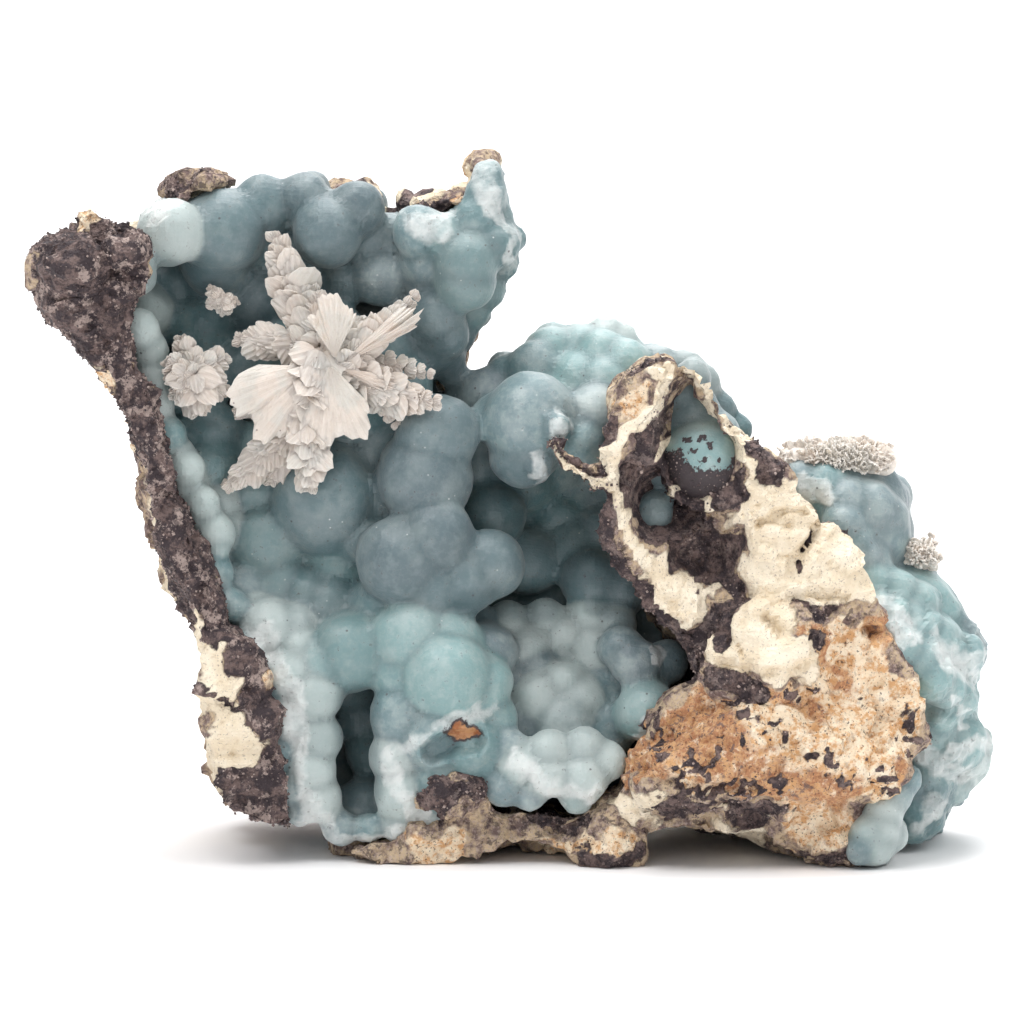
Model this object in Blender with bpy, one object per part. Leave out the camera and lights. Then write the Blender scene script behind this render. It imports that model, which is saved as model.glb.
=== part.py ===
"""Botryoidal smithsonite on its matrix, with sprays of pale bladed crystals.

Places are (x, height, depth) in millimetres. x and height are read off a front view of the specimen,
and depth runs backwards from the middle of the stone. The function placed() turns them into metres.
"""

import math
import random

import bmesh
import bpy
from mathutils import Matrix, Vector, noise

MM = 0.001

# The front view: where it is seen from, and where the shelf lies in it.
EYE_DISTANCE = 600.0
EYE_HEIGHT = 36.0
SIGHT_FALL = 0.105
SHELF_HEIGHT = 2.4
CENTRE_X, CENTRE_Y = 0.05, 1.93

# The clearance between two pieces that grew against each other.
GAP, CREASE_GAP = 0.45, 0.12
# How far every piece but the rock stays off the shelf.
SHELF_CLEARANCE = 0.3

# Relief of the broken rock: how high and how wide its lumps are.
LUMP_HEIGHT, LUMP_WIDTH = 1.9, 10.0
CHIP_HEIGHT, CHIP_WIDTH = 0.8, 3.6

# Fineness of each piece: the voxel it is grown with, in mm, and the triangles it keeps.
ROCK_VOXEL, CRUST_VOXEL, CRYSTAL_VOXEL, CUTTER_VOXEL = 0.9, 0.72, 0.34, 0.9

ROCK_COLOUR = (0.62, 0.52, 0.38)
CRUST_COLOUR = (0.33, 0.50, 0.51)
CRYSTAL_COLOUR = (0.78, 0.72, 0.66)
ROCK_ROUGHNESS, CRUST_ROUGHNESS, CRYSTAL_ROUGHNESS = 0.9, 0.45, 0.5

# The broken left wall, seen edge on: its outer side from the top down, then its inner side upwards.
LEFT_WALL = [
    (-42.4, 66.8), (-43.6, 64.8), (-46.0, 63.2), (-47.4, 61.8), (-46.4, 58.6), (-43.0, 54.4),
    (-41.6, 50.4), (-39.0, 47.3), (-37.6, 43.0), (-36.2, 36.0), (-34.0, 29.6), (-32.0, 24.6),
    (-30.6, 18.2), (-29.9, 12.7), (-28.8, 7.2), (-27.0, 4.4), (-22.5, 3.0), (-21.6, 4.4),
    (-23.0, 9.2), (-24.4, 13.7), (-25.5, 19.2), (-28.0, 23.2), (-30.0, 29.2), (-31.6, 32.7),
    (-33.6, 38.2), (-35.4, 43.2), (-36.0, 48.2), (-37.6, 52.7), (-39.2, 57.2), (-37.0, 61.0),
    (-37.0, 64.4), (-40.3, 65.6),
]
# The wall behind the crust, all across the specimen.
BACK_WALL = [
    (-43.0, 62.5), (-38.0, 65.5), (-32.5, 69.0), (-30.0, 69.5), (-27.0, 67.3), (-21.0, 68.3),
    (-16.0, 68.0), (-12.5, 67.0), (-8.0, 66.7), (-5.0, 68.4), (-3.2, 69.8), (-2.4, 64.0),
    (-4.5, 56.0), (-7.5, 51.5), (-7.0, 47.5), (-2.0, 48.6), (3.0, 51.0), (9.0, 52.8),
    (13.0, 51.5), (18.0, 48.4), (23.2, 42.6), (28.0, 41.0), (35.0, 41.0), (37.0, 37.0),
    (38.0, 33.0), (41.5, 28.5), (44.5, 22.5), (44.5, 15.0), (43.5, 9.0), (41.0, 4.5),
    (32.0, 4.0), (18.0, 5.0), (0.0, 5.5), (-16.0, 5.0), (-27.0, 6.0), (-31.0, 18.0),
    (-36.0, 36.0), (-38.5, 46.0), (-44.0, 55.0),
]
# The broken mass on the right, from its peak round by the right.
RIGHT_MASS = [
    (13.0, 51.6), (15.5, 52.2), (18.2, 50.2), (20.2, 46.8), (22.8, 43.0), (27.2, 41.0),
    (28.0, 38.4), (31.6, 35.2), (34.3, 30.4), (35.4, 27.0), (37.0, 23.2), (40.4, 19.0),
    (40.8, 13.2), (39.2, 9.4), (35.4, 6.6), (34.6, 1.6), (32.6, 0.4), (28.6, 1.6),
    (24.5, 3.2), (18.5, 3.0), (14.5, 3.8), (9.6, 6.0), (10.6, 9.2), (13.6, 13.2),
    (14.6, 17.0), (17.6, 18.8), (17.0, 22.2), (13.8, 26.2), (11.0, 30.6), (9.0, 33.4), (8.6, 38.0),
    (9.2, 41.0), (9.6, 45.2), (10.6, 49.2),
]
# The low sill that joins the two below the hollow.
SILL = [
    (-16.5, 1.6), (-10.0, 3.6), (-4.0, 5.6), (0.5, 6.4), (5.0, 6.0), (10.5, 6.2),
    (14.5, 4.5), (13.0, 1.6), (10.5, 0.6), (6.5, 1.6), (0.0, 2.4), (-5.0, 1.2), (-12.0, 0.6),
]
# Slabs of rock: outline, depth of the front, depth of the back, and how much the back narrows.
ROCK_SLABS = [
    (LEFT_WALL, -14.0, 14.0, 0.88),
    (BACK_WALL, 5.5, 19.0, 0.88),
    (RIGHT_MASS, -14.5, 14.0, 0.90),
    (SILL, -12.5, 12.0, 0.92),
]
# Rounded swellings of the rock: place and half sizes in x, depth and height.
ROCK_LUMPS = [
    ((-30.8, 69.3, 2.0), (2.9, 7.0, 1.5)), ((-33.0, 68.0, 2.0), (2.2, 7.0, 1.6)),
    ((-15.8, 67.6, 4.0), (2.6, 7.0, 1.1)), ((-8.6, 66.8, 2.0), (2.8, 7.0, 1.5)),
    ((-5.8, 67.6, 2.0), (2.2, 7.0, 1.4)), ((-3.3, 70.2, 3.0), (1.2, 7.0, 1.4)),
    ((-43.8, 61.0, -10.0), (3.8, 8.0, 2.6)), ((-38.5, 62.5, -12.0), (2.0, 5.0, 2.0)),
    ((-5.6, 7.6, -12.8), (4.4, 2.4, 2.1)), ((25.6, 22.0, -13.5), (7.6, 4.0, 8.0)),
    ((27.0, 11.0, -14.0), (12.0, 5.0, 6.5)), ((27.5, 33.0, -12.0), (6.0, 3.5, 5.0)),
    ((20.0, 9.0, -15.0), (8.0, 4.0, 4.5)),
    ((-6.0, 30.0, 17.0), (16.0, 6.0, 18.0)), ((22.0, 22.0, 16.0), (15.0, 6.5, 14.0)),
    ((-22.0, 52.0, 16.5), (13.0, 5.0, 12.0)), ((-22.0, 18.0, 14.0), (9.0, 7.0, 12.0)),
]
# The thin arm of rock that crosses in front of the hollow, and the ribs round the pocket.
ROCK_RIBS = [
    [(3.4, 43.2, -12.5, 0.9), (5.3, 40.9, -12.5, 1.2), (7.6, 39.6, -12.5, 1.4), (10.0, 39.2, -12.0, 1.6)],
]
# Feet: x, depth and radius. Each is cut flat where it meets the shelf.
FEET = [(33.0, -12.0, 4.0), (9.6, -10.5, 4.0), (-16.4, -4.0, 2.8), (-13.0, 11.5, 5.5), (25.0, 13.0, 5.5)]
FOOT_DIP, FOOT_STRETCH = 1.7, 0.3
# Hollows pressed into the right mass: place, half sizes, and depth.
POCKETS = [
    ((18.5, 43.5), (4.6, 7.6), 6.5),
    ((15.5, 37.0), (4.4, 4.2), 5.0),
    ((19.5, 32.5), (4.6, 4.6), 3.0),
]

# Globes of smithsonite: x, height, depth of the centre, and radius.
VUG_GLOBES = [
    (-34.3, 64.0, -6.0, 3.3), (-29.3, 64.0, -3.0, 4.2), (-29.7, 61.0, -1.5, 3.4), (-33.7, 59.0, 2.0, 3.0),
    (-37.0, 56.4, -1.0, 2.7), (-34.3, 55.4, 1.5, 2.8), (-31.1, 54.2, 0.0, 3.2), (-25.2, 66.3, -1.0, 3.2),
    (-24.7, 63.0, 0.5, 2.8), (-20.9, 67.6, -1.5, 2.5), (-18.7, 63.9, -3.5, 3.3), (-15.8, 66.4, -2.5, 2.7),
    (-13.4, 59.5, -0.5, 2.9), (-16.9, 58.9, 0.0, 2.4), (-20.3, 61.6, 1.0, 2.2), (-14.1, 63.0, 0.5, 2.6),
    (-11.9, 63.6, 0.0, 2.3), (-9.6, 64.0, -4.0, 2.6), (-7.2, 63.6, -4.5, 2.2), (-9.0, 60.9, -3.0, 2.2),
    (-4.7, 61.2, -5.0, 3.0), (-4.9, 58.9, -4.6, 2.8), (-1.9, 62.9, -4.0, 2.4), (-0.4, 63.3, -1.0, 1.5),
    (-2.7, 69.6, -3.0, 1.6), (-2.8, 67.8, -3.5, 2.0), (-3.9, 65.3, -4.0, 2.3), (-1.8, 65.4, -2.5, 1.7),
    (-7.7, 55.7, -3.0, 2.8), (-6.9, 53.9, -2.5, 2.4), (-8.5, 58.9, -2.0, 2.2), (-10.0, 54.6, -1.0, 2.8),
    (-8.3, 52.5, -1.0, 2.5), (-7.0, 51.4, 0.0, 2.0), (-1.3, 61.0, 1.0, 1.7), (-2.8, 58.2, 1.0, 1.8),
    (-4.2, 56.0, 1.0, 1.8), (-5.5, 53.7, 1.0, 1.7), (-6.4, 50.2, 0.5, 1.6),
    (-30.3, 43.7, -2.5, 3.2), (-16.2, 46.6, -3.0, 3.6), (-26.9, 50.4, -1.0, 2.9), (-19.1, 37.4, -4.5, 5.2),
    (-24.8, 33.1, -3.5, 3.6), (-23.6, 28.6, -3.5, 3.1), (-27.5, 37.6, 0.0, 2.9), (-17.9, 30.6, -3.0, 3.2),
    (-13.2, 43.2, -2.0, 3.3), (-21.5, 45.2, -2.0, 3.6), (-26.0, 41.7, -1.5, 3.2), (-22.5, 51.2, -2.0, 3.5),
    (-18.0, 53.5, -1.5, 3.3), (-13.0, 52.2, -2.0, 3.1), (-11.5, 48.7, -2.5, 3.2), (-25.5, 57.2, 1.0, 3.4),
    (-22.0, 58.4, 0.5, 3.0), (-28.8, 57.2, 2.0, 3.0), (-32.0, 48.7, -1.5, 3.2), (-13.5, 37.0, -3.0, 3.4),
    (-7.8, 43.8, -7.0, 3.9), (-9.0, 39.4, -7.0, 4.5), (-11.4, 31.2, -9.0, 4.2), (-7.8, 33.7, -9.5, 3.5),
    (-2.4, 30.8, -8.0, 3.3), (-5.0, 29.2, -8.5, 3.4), (-8.2, 28.8, -8.5, 3.4), (-2.2, 35.5, -1.0, 3.2),
    (0.5, 39.2, 3.0, 3.4), (4.5, 35.2, 5.5, 3.4), (3.4, 41.0, 4.0, 3.2), (7.7, 29.1, 0.0, 3.0),
    (10.3, 28.2, 0.5, 3.0), (1.4, 31.0, 2.0, 3.2), (5.8, 32.0, 3.0, 3.0), (9.0, 33.5, 4.0, 3.4),
    (-4.7, 24.7, -4.0, 2.7), (-0.7, 24.8, -2.5, 2.2), (3.0, 25.3, -1.8, 2.1), (4.9, 23.6, -2.2, 2.0),
    (7.6, 25.4, -1.5, 2.1), (1.2, 22.3, -3.2, 2.4), (2.2, 20.3, -3.8, 2.1), (-1.1, 19.4, -4.5, 2.2),
    (7.8, 22.0, -2.5, 2.4), (10.2, 24.6, -2.0, 2.2), (4.9, 18.9, -5.5, 2.1), (6.3, 17.1, -5.5, 2.6),
    (2.4, 17.0, -5.5, 2.8), (5.0, 14.8, -6.0, 3.2), (1.0, 14.4, -5.0, 3.0), (8.6, 17.9, -3.5, 2.4),
    (10.7, 22.3, -6.0, 2.2), (12.0, 20.8, -7.0, 2.5), (13.2, 15.9, -8.0, 3.1), (9.6, 14.2, -5.5, 2.6),
    (-16.5, 21.9, -9.0, 3.8), (-10.6, 23.4, -10.0, 3.5), (-24.5, 24.3, -8.0, 2.8), (-22.2, 24.4, -7.5, 2.4),
    (-21.5, 22.0, -8.5, 2.6), (-6.9, 19.4, -11.5, 4.2), (-3.6, 18.6, -10.0, 3.2), (-6.5, 23.0, -9.5, 3.1),
    (-2.8, 22.0, -7.0, 2.9), (-11.6, 15.4, -11.0, 2.9), (-12.0, 11.4, -11.0, 2.7), (-11.4, 7.7, -11.0, 2.8),
    (-8.2, 13.2, -12.0, 3.1), (-4.4, 12.4, -11.6, 3.2), (-7.5, 8.6, -11.0, 3.0), (-2.4, 15.2, -10.0, 2.6),
    (-20.2, 17.4, -10.5, 2.7), (-19.8, 13.3, -10.5, 2.5), (-20.5, 10.2, -10.5, 2.5), (-19.8, 7.2, -10.0, 2.4),
    (-22.5, 15.2, -10.0, 2.5), (-19.2, 20.8, -9.5, 2.7), (-22.6, 19.6, -10.0, 2.6), (-21.6, 6.0, -10.0, 1.8),
    (-17.6, 4.0, -9.5, 1.7), (-14.6, 4.0, -10.0, 1.6), (-11.6, 4.6, -10.5, 1.8), (-8.4, 5.2, -10.5, 1.8),
    (-15.5, 15.0, -1.0, 2.6), (-14.5, 11.5, -2.0, 2.5), (-15.4, 6.4, -4.5, 2.8), (-16.6, 18.5, -2.0, 2.8),
    (3.4, 11.8, -12.0, 2.1), (7.0, 12.2, -11.6, 2.0), (9.2, 10.8, -11.6, 2.0), (0.4, 10.4, -12.4, 2.2),
    (3.2, 9.2, -12.8, 2.2), (7.0, 9.0, -12.6, 2.2), (6.2, 7.0, -12.4, 1.6), (-0.6, 12.4, -12.0, 1.7),
    (-1.2, 8.2, -12.4, 2.0), (1.6, 7.4, -12.6, 1.6),
    (-18.6, 26.6, -5.0, 3.0), (-13.6, 26.4, -6.5, 3.2), (-20.6, 27.6, -4.5, 2.8), (-27.6, 28.2, -4.5, 2.6),
    (-26.4, 25.6, -6.0, 2.4), (-30.2, 40.7, -4.5, 2.6), (-30.0, 37.2, -4.5, 2.4), (-28.8, 34.4, -4.0, 2.3),
    (-26.4, 34.8, -1.5, 2.7), (-15.2, 33.4, -5.5, 2.5), (-11.5, 19.4, -10.2, 2.6), (15.2, 20.8, -5.0, 2.2),
]
RIM_GLOBES = [
    (-32.7, 40.4, -9.0, 1.7), (-31.1, 37.0, -8.5, 1.6), (-29.7, 33.9, -8.0, 1.9), (-29.6, 32.2, -9.0, 1.0),
    (-30.0, 29.9, -8.5, 1.8), (-37.4, 54.4, -8.5, 2.0), (-36.4, 52.2, -7.5, 1.9), (-36.2, 49.6, -7.5, 1.9),
    (-35.7, 46.8, -8.0, 1.8), (-34.6, 43.8, -8.5, 1.7), (-37.8, 59.9, -9.0, 2.2), (-28.6, 26.6, -8.5, 1.8),
    (-26.8, 22.0, -9.0, 2.2), (-24.8, 18.0, -10.0, 2.0), (-23.8, 11.4, -10.5, 2.0), (-22.6, 8.2, -10.5, 2.0),
    (-32.6, 38.6, -7.6, 1.7), (-31.2, 35.4, -7.2, 1.6), (-26.0, 38.4, -3.2, 2.4), (-33.6, 41.8, -7.6, 1.6),
]
HUMP_GLOBES = [
    (1.5, 45.0, -6.0, 4.7), (0.9, 41.8, -6.0, 3.4), (-1.5, 45.4, -4.5, 2.8), (8.0, 45.8, -5.0, 2.9),
    (6.8, 43.0, -6.5, 2.6), (4.3, 44.6, -10.6, 1.3), (2.4, 40.9, -8.8, 1.5), (3.8, 51.8, 2.0, 2.9),
    (6.4, 52.0, 2.0, 2.8), (8.9, 53.8, 3.0, 1.9), (10.7, 53.3, 3.0, 1.7), (8.7, 51.5, 0.0, 2.7),
    (11.0, 50.9, -1.0, 2.6), (2.1, 50.3, 0.0, 2.8), (6.2, 49.2, -1.0, 2.9), (9.0, 48.9, -2.0, 2.8),
    (-0.8, 49.6, 1.0, 2.3), (-2.9, 47.9, 0.0, 2.6), (-4.0, 45.8, 1.5, 2.8), (-4.9, 47.2, 2.0, 2.2),
    (-3.7, 40.6, 2.0, 3.2), (-2.9, 43.0, 2.5, 3.2), (18.4, 48.8, 0.0, 2.1), (20.2, 46.4, 0.5, 1.8),
    (22.0, 44.2, 1.0, 1.7), (14.0, 50.4, 1.0, 2.4), (17.0, 50.0, 1.5, 2.2),
]
POCKET_GLOBES = [
    (16.9, 47.7, -7.0, 2.6), (17.6, 49.6, -6.4, 1.9), (17.9, 45.8, -7.5, 2.6), (18.8, 41.0, -9.2, 4.0),
    (21.0, 40.0, -9.4, 3.0), (19.6, 43.6, -8.0, 2.8), (15.2, 44.2, -7.4, 2.0), (14.6, 40.6, -8.6, 1.9),
    (13.9, 36.0, -9.6, 1.9),
]
RIGHT_GLOBES = [
    (36.4, 37.4, -2.0, 2.9), (35.4, 38.6, -2.0, 2.8), (33.3, 38.8, -3.0, 2.6), (30.8, 38.6, -5.0, 2.5),
    (28.4, 39.0, -5.0, 2.2), (33.2, 36.8, -6.0, 2.6), (36.4, 35.4, -4.5, 2.8), (35.4, 36.4, -5.5, 2.8),
    (32.8, 34.8, -8.0, 2.1), (34.0, 33.0, -8.0, 1.9), (34.8, 31.7, -8.0, 1.9), (35.9, 31.0, -7.0, 1.9),
    (38.3, 31.2, -2.0, 2.7), (39.5, 30.0, -1.5, 2.6), (35.8, 28.9, -8.5, 2.0), (38.0, 28.0, -8.0, 2.2),
    (40.2, 26.9, -7.5, 2.2), (40.2, 28.9, -2.0, 2.1), (41.6, 26.9, -2.0, 2.1), (42.9, 24.9, -2.5, 2.3),
    (44.4, 23.3, -3.0, 2.1), (45.6, 22.2, -2.5, 1.8), (40.1, 24.5, -9.0, 2.4), (42.7, 22.9, -8.0, 2.5),
    (44.4, 21.3, -6.5, 2.4), (37.9, 26.0, -11.0, 1.5), (36.6, 26.8, -11.2, 1.3), (37.6, 24.0, -11.6, 1.7),
    (38.8, 22.2, -11.6, 2.3), (40.5, 21.2, -11.0, 2.3), (41.5, 19.6, -10.5, 2.5), (43.2, 18.6, -9.5, 2.0),
    (44.3, 17.2, -7.5, 2.2), (43.2, 15.2, -7.5, 1.7), (43.8, 13.3, -4.5, 3.2), (44.8, 15.6, -1.0, 2.1),
    (46.2, 12.3, -2.0, 1.8), (45.9, 10.4, -3.0, 1.9), (41.6, 9.0, -4.0, 2.5), (44.0, 8.2, -3.0, 1.8),
    (40.3, 6.4, -4.0, 2.6), (40.0, 5.0, -4.0, 2.2), (41.4, 4.8, -3.5, 2.0), (40.8, 11.1, -4.0, 2.6),
    (41.6, 16.0, -6.0, 2.6), (44.4, 19.9, -2.0, 2.1), (35.2, 34.0, -3.4, 4.2), (39.6, 26.0, -4.0, 4.2),
    (41.0, 20.6, -5.6, 4.6), (42.0, 14.0, -4.0, 4.2), (40.4, 8.4, -3.0, 3.5), (31.6, 36.6, -3.6, 3.4),
]
FOOT_GLOBES = [
    (37.0, 5.6, -13.8, 1.9), (36.6, 3.6, -14.2, 2.1), (36.2, 2.2, -14.4, 2.0), (39.2, 9.0, -12.4, 1.7),
    (38.3, 7.4, -13.0, 1.8), (35.4, 3.6, -14.8, 1.7), (34.8, 2.0, -15.0, 1.6), (37.8, 3.2, -13.2, 1.7),
]
# How far back each group of globes runs, as knobbly fingers of the crust.
VUG_ROOT, HUMP_ROOT, POCKET_ROOT, RIGHT_ROOT, FOOT_ROOT = 8.0, 10.0, 0.0, 8.0, -6.0
FINGER_TAPER = 0.66
# Small globes that cover the fingers where they show from above and from the side: how far apart they
# are, how far off the finger's middle in shares of its radius, their sizes, and how uneven their rows are.
SIDE_GLOBE_SPACING, SIDE_REACH, SIDE_SIZES, SIDE_JITTER = 2.6, 0.35, (0.66, 0.80), 0.8
# Where the front view's outline is made of globes: the left part's top, the hump's top and all of the right.
LEFT_TOP, LEFT_END, HUMP_TOP, HUMP_END = 62.0, -5.0, 47.0, 24.0
# The sheet of crust behind the globes of the hollow.
CRUST_BED = [
    (-36.0, 58.0), (-34.0, 65.0), (-28.0, 66.4), (-20.0, 66.6), (-12.0, 66.0), (-6.0, 65.4),
    (-4.5, 62.0), (-5.5, 56.0), (-8.5, 51.5), (-7.5, 46.5), (-2.0, 47.4), (4.0, 49.6),
    (10.0, 50.8), (14.0, 48.0), (14.0, 38.0), (15.0, 24.0), (14.0, 10.0), (6.0, 6.6),
    (-8.0, 6.0), (-20.0, 5.6), (-25.0, 10.0), (-28.0, 24.0), (-32.0, 38.0), (-34.0, 48.0),
]
BED_FRONT, BED_BACK, BED_NARROWING = 3.2, 8.0, 0.98

# Arms of pale crystal: root, tip (each x, height, depth), and width.
SPRAY_ARMS = [
    ((-20.5, 53.6, -6.0), (-24.4, 65.0, -5.6), 5.0), ((-19.4, 53.0, -7.0), (-20.2, 59.0, -6.6), 3.4),
    ((-18.6, 49.5, -8.0), (-15.2, 55.6, -6.8), 5.2), ((-18.0, 49.2, -8.6), (-8.6, 59.0, -8.6), 3.6),
    ((-16.5, 49.0, -7.6), (-6.4, 46.8, -11.6), 4.6), ((-15.0, 51.4, -7.2), (-7.4, 49.6, -9.8), 3.0),
    ((-15.0, 49.6, -8.4), (-11.4, 44.2, -8.4), 2.8), ((-19.0, 50.2, -8.6), (-16.6, 44.6, -8.8), 5.0),
    ((-19.6, 50.0, -9.0), (-23.0, 43.6, -8.6), 6.4), ((-21.0, 48.6, -8.4), (-28.4, 45.8, -6.8), 4.4),
    ((-21.6, 45.0, -8.4), (-29.6, 37.8, -6.6), 4.4), ((-22.0, 43.6, -8.0), (-24.6, 38.6, -6.4), 3.8),
    ((-20.6, 44.4, -9.6), (-20.6, 37.6, -10.6), 4.4), ((-21.0, 52.8, -6.8), (-28.4, 53.4, -5.6), 4.0),
    ((-19.6, 51.8, -8.2), (-20.8, 46.4, -9.8), 6.2),
]
ROSETTE_ARMS = [
    ((-32.0, 50.0, -6.6), (-33.4, 53.8, -6.2), 3.2), ((-32.0, 50.0, -6.6), (-28.4, 51.6, -5.6), 3.2),
    ((-32.0, 50.0, -6.8), (-28.6, 48.0, -5.8), 3.4), ((-32.0, 49.8, -7.2), (-31.6, 45.9, -7.2), 4.6),
    ((-32.0, 49.8, -7.2), (-34.0, 47.4, -7.4), 3.8), ((-32.4, 49.8, -7.4), (-35.0, 51.2, -8.4), 3.2),
]
BUTTON_ARMS = [
    ((-29.2, 57.2, -4.8), (-30.6, 58.6, -5.0), 1.7), ((-29.2, 57.2, -4.8), (-27.4, 57.0, -4.8), 1.5),
    ((-29.2, 57.2, -4.8), (-28.8, 55.9, -5.0), 1.8), ((-29.2, 57.2, -4.8), (-30.8, 56.8, -5.0), 1.7),
]
DRUSE_ARMS = [
    ((28.4, 41.4, -3.4), (26.9, 43.0, -3.6), 2.2), ((30.2, 41.4, -3.4), (29.8, 43.4, -3.8), 2.4),
    ((32.4, 41.4, -3.4), (32.2, 43.6, -3.6), 2.4), ((34.2, 41.4, -3.2), (35.0, 43.6, -3.4), 2.4),
    ((35.8, 41.4, -3.0), (37.6, 42.8, -3.2), 2.2), ((29.4, 41.4, -2.6), (29.2, 43.2, -1.0), 2.4),
    ((33.2, 41.4, -2.6), (33.6, 43.4, -1.0), 2.4), ((31.4, 41.4, -3.6), (33.4, 42.6, -5.0), 2.2),
]
TUFT_ARMS = [
    ((40.0, 31.0, -3.4), (39.0, 34.0, -3.6), 2.1), ((40.4, 31.0, -3.4), (41.8, 34.0, -3.4), 2.2),
    ((40.6, 30.8, -3.6), (42.8, 31.6, -4.0), 2.0), ((40.2, 30.8, -3.8), (40.2, 31.8, -5.6), 2.1),
]
DRUSE_FOOT = ((27.6, 41.2, -3.2), (37.6, 41.4, -3.2), 1.5)
TUFT_FOOT = ((39.8, 31.4, -3.2), (41.6, 31.6, -3.4), 1.0)
BUTTON_FOOT = ((-30.0, 57.4, -4.6), (-28.6, 57.2, -4.6), 1.0)
# A blade's rings from its foot to its tip: how far along it, and how wide.
BLADE_RINGS = [(0.0, 0.6), (0.55, 1.0), (0.85, 0.85), (1.0, 0.35)]
BLADES_PER_ARM = 7
# Shares of the arm's width: each blade's width and thickness, how far it leans out, and the arm's own body.
BLADE_WIDTH, BLADE_THICKNESS, BLADE_LEAN, ARM_BODY = 0.6, 0.5, 0.5, 0.27
# Shares of the arm's length: where the blades leave it, how long they are, and how far its body runs.
BLADE_START, BLADE_LENGTH, BODY_LENGTH = 0.55, 0.50, 0.72
BLADE_ROLL, BLADE_JITTER = 0.5, 0.4

# The facets of each piece, and the numbers that its random choices start from.
TRIANGLES = {
    "matrix": 1850, "vug_crust": 3850, "pocket_crust": 250, "right_crust": 900, "foot_crust": 170,
    "crystal_spray": 900, "crystal_rosette": 260, "crystal_button": 120, "crystal_druse": 220,
    "crystal_tuft": 120,
}
VUG_SEED, RIM_SEED, HUMP_SEED, POCKET_SEED, RIGHT_SEED, FOOT_SEED = 1, 2, 3, 4, 5, 6
SPRAY_SEED, ROSETTE_SEED, BUTTON_SEED, DRUSE_SEED, TUFT_SEED = 11, 12, 13, 14, 15
# Globes look smooth, and creases sharper than this angle look sharp.
CREASE_ANGLE = math.radians(50)
# Only rock that faces the front and lies in front of this depth is pressed back into pockets.
POCKET_START, FACING_FRONT = -6.0, -0.2


def placed(x, height, depth):
    """The world point, in metres, that the front view shows at x and height when it lies at that depth."""
    nearness = 1 + depth / EYE_DISTANCE
    z = EYE_HEIGHT + (height - EYE_HEIGHT) * nearness - depth * SIGHT_FALL - SHELF_HEIGHT
    return Vector((x * nearness - CENTRE_X, depth - CENTRE_Y, z)) * MM


def clear_scene():
    for thing in list(bpy.data.objects):
        bpy.data.objects.remove(thing)


def object_from(name, shape):
    """A new object in the scene that holds a bmesh."""
    mesh = bpy.data.meshes.new(name)
    shape.to_mesh(mesh)
    shape.free()
    made = bpy.data.objects.new(name, mesh)
    bpy.context.scene.collection.objects.link(made)
    return made


def settle(thing):
    """Applies an object's modifiers to its mesh."""
    graph = bpy.context.evaluated_depsgraph_get()
    graph.update()
    mesh = bpy.data.meshes.new_from_object(thing.evaluated_get(graph))
    thing.modifiers.clear()
    thing.data = mesh


def add_slab(shape, outline, front, back, narrowing):
    """A prism of rock between two depths, whose back outline is drawn in towards its middle."""
    middle_x = sum(x for x, _ in outline) / len(outline)
    middle_h = sum(h for _, h in outline) / len(outline)
    near = [shape.verts.new(placed(x, h, front)) for x, h in outline]
    far = []
    for x, h in outline:
        x, h = middle_x + (x - middle_x) * narrowing, middle_h + (h - middle_h) * narrowing
        far.append(shape.verts.new(placed(x, h, back)))
    shape.faces.new(near)
    shape.faces.new(far[::-1])
    for i in range(len(outline)):
        j = (i + 1) % len(outline)
        shape.faces.new((near[j], near[i], far[i], far[j]))


def unit_ball():
    """The corners and faces of a ball of radius 1."""
    shape = bmesh.new()
    bmesh.ops.create_icosphere(shape, subdivisions=3, radius=1)
    corners = [vertex.co.copy() for vertex in shape.verts]
    faces = [[vertex.index for vertex in face.verts] for face in shape.faces]
    shape.free()
    return corners, faces


def add_ball(shape, reshape):
    """A ball whose corners are moved by a function."""
    corners, faces = BALL
    made = [shape.verts.new(reshape(corner)) for corner in corners]
    for face in faces:
        shape.faces.new([made[i] for i in face])


def add_lump(shape, place, half_sizes):
    """An ellipsoid of rock."""
    centre = placed(*place)
    add_ball(shape, lambda corner: centre + corner * Vector(half_sizes) * MM)


def add_finger(shape, start, end, start_radius, end_radius):
    """A round-ended finger from start to end, in metres. Its two ends are half globes."""
    way = end - start

    def reshape(corner):
        if corner.dot(way) > 0:
            return end + corner * end_radius
        return start + corner * start_radius

    add_ball(shape, reshape)


def add_globes(shape, globes, root):
    """Each globe with the finger behind it, which runs straight back from the eye to the root depth."""
    for x, height, depth, radius in globes:
        back = max(root, depth + 0.5)
        taper = radius * FINGER_TAPER
        add_finger(shape, placed(x, height, depth), placed(x, height, back), radius * MM, taper * MM)


def side_globes(globes, root, seed):
    """Small globes scattered along the outer fingers, where they show from above and from the side."""
    chance = random.Random(seed)
    found = []
    for x, height, depth, radius in globes:
        if not is_outer(x, height):
            continue
        steps = int((root - depth) / SIDE_GLOBE_SPACING)
        for step in range(steps):
            angle = chance.uniform(0, math.tau)
            reach = radius * SIDE_REACH
            found.append((
                x + reach * math.cos(angle),
                height + reach * math.sin(angle),
                depth + (step + 1) * SIDE_GLOBE_SPACING + chance.uniform(-SIDE_JITTER, SIDE_JITTER),
                radius * chance.uniform(*SIDE_SIZES),
            ))
    return found


def is_outer(x, height):
    """Whether a globe lies near the upper outline or the right outline of the front view."""
    if x < LEFT_END:
        return height > LEFT_TOP
    return x > HUMP_END or height > HUMP_TOP


def add_balls(shape, globes):
    for x, height, depth, radius in globes:
        add_lump(shape, (x, height, depth), (radius, radius, radius))


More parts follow.
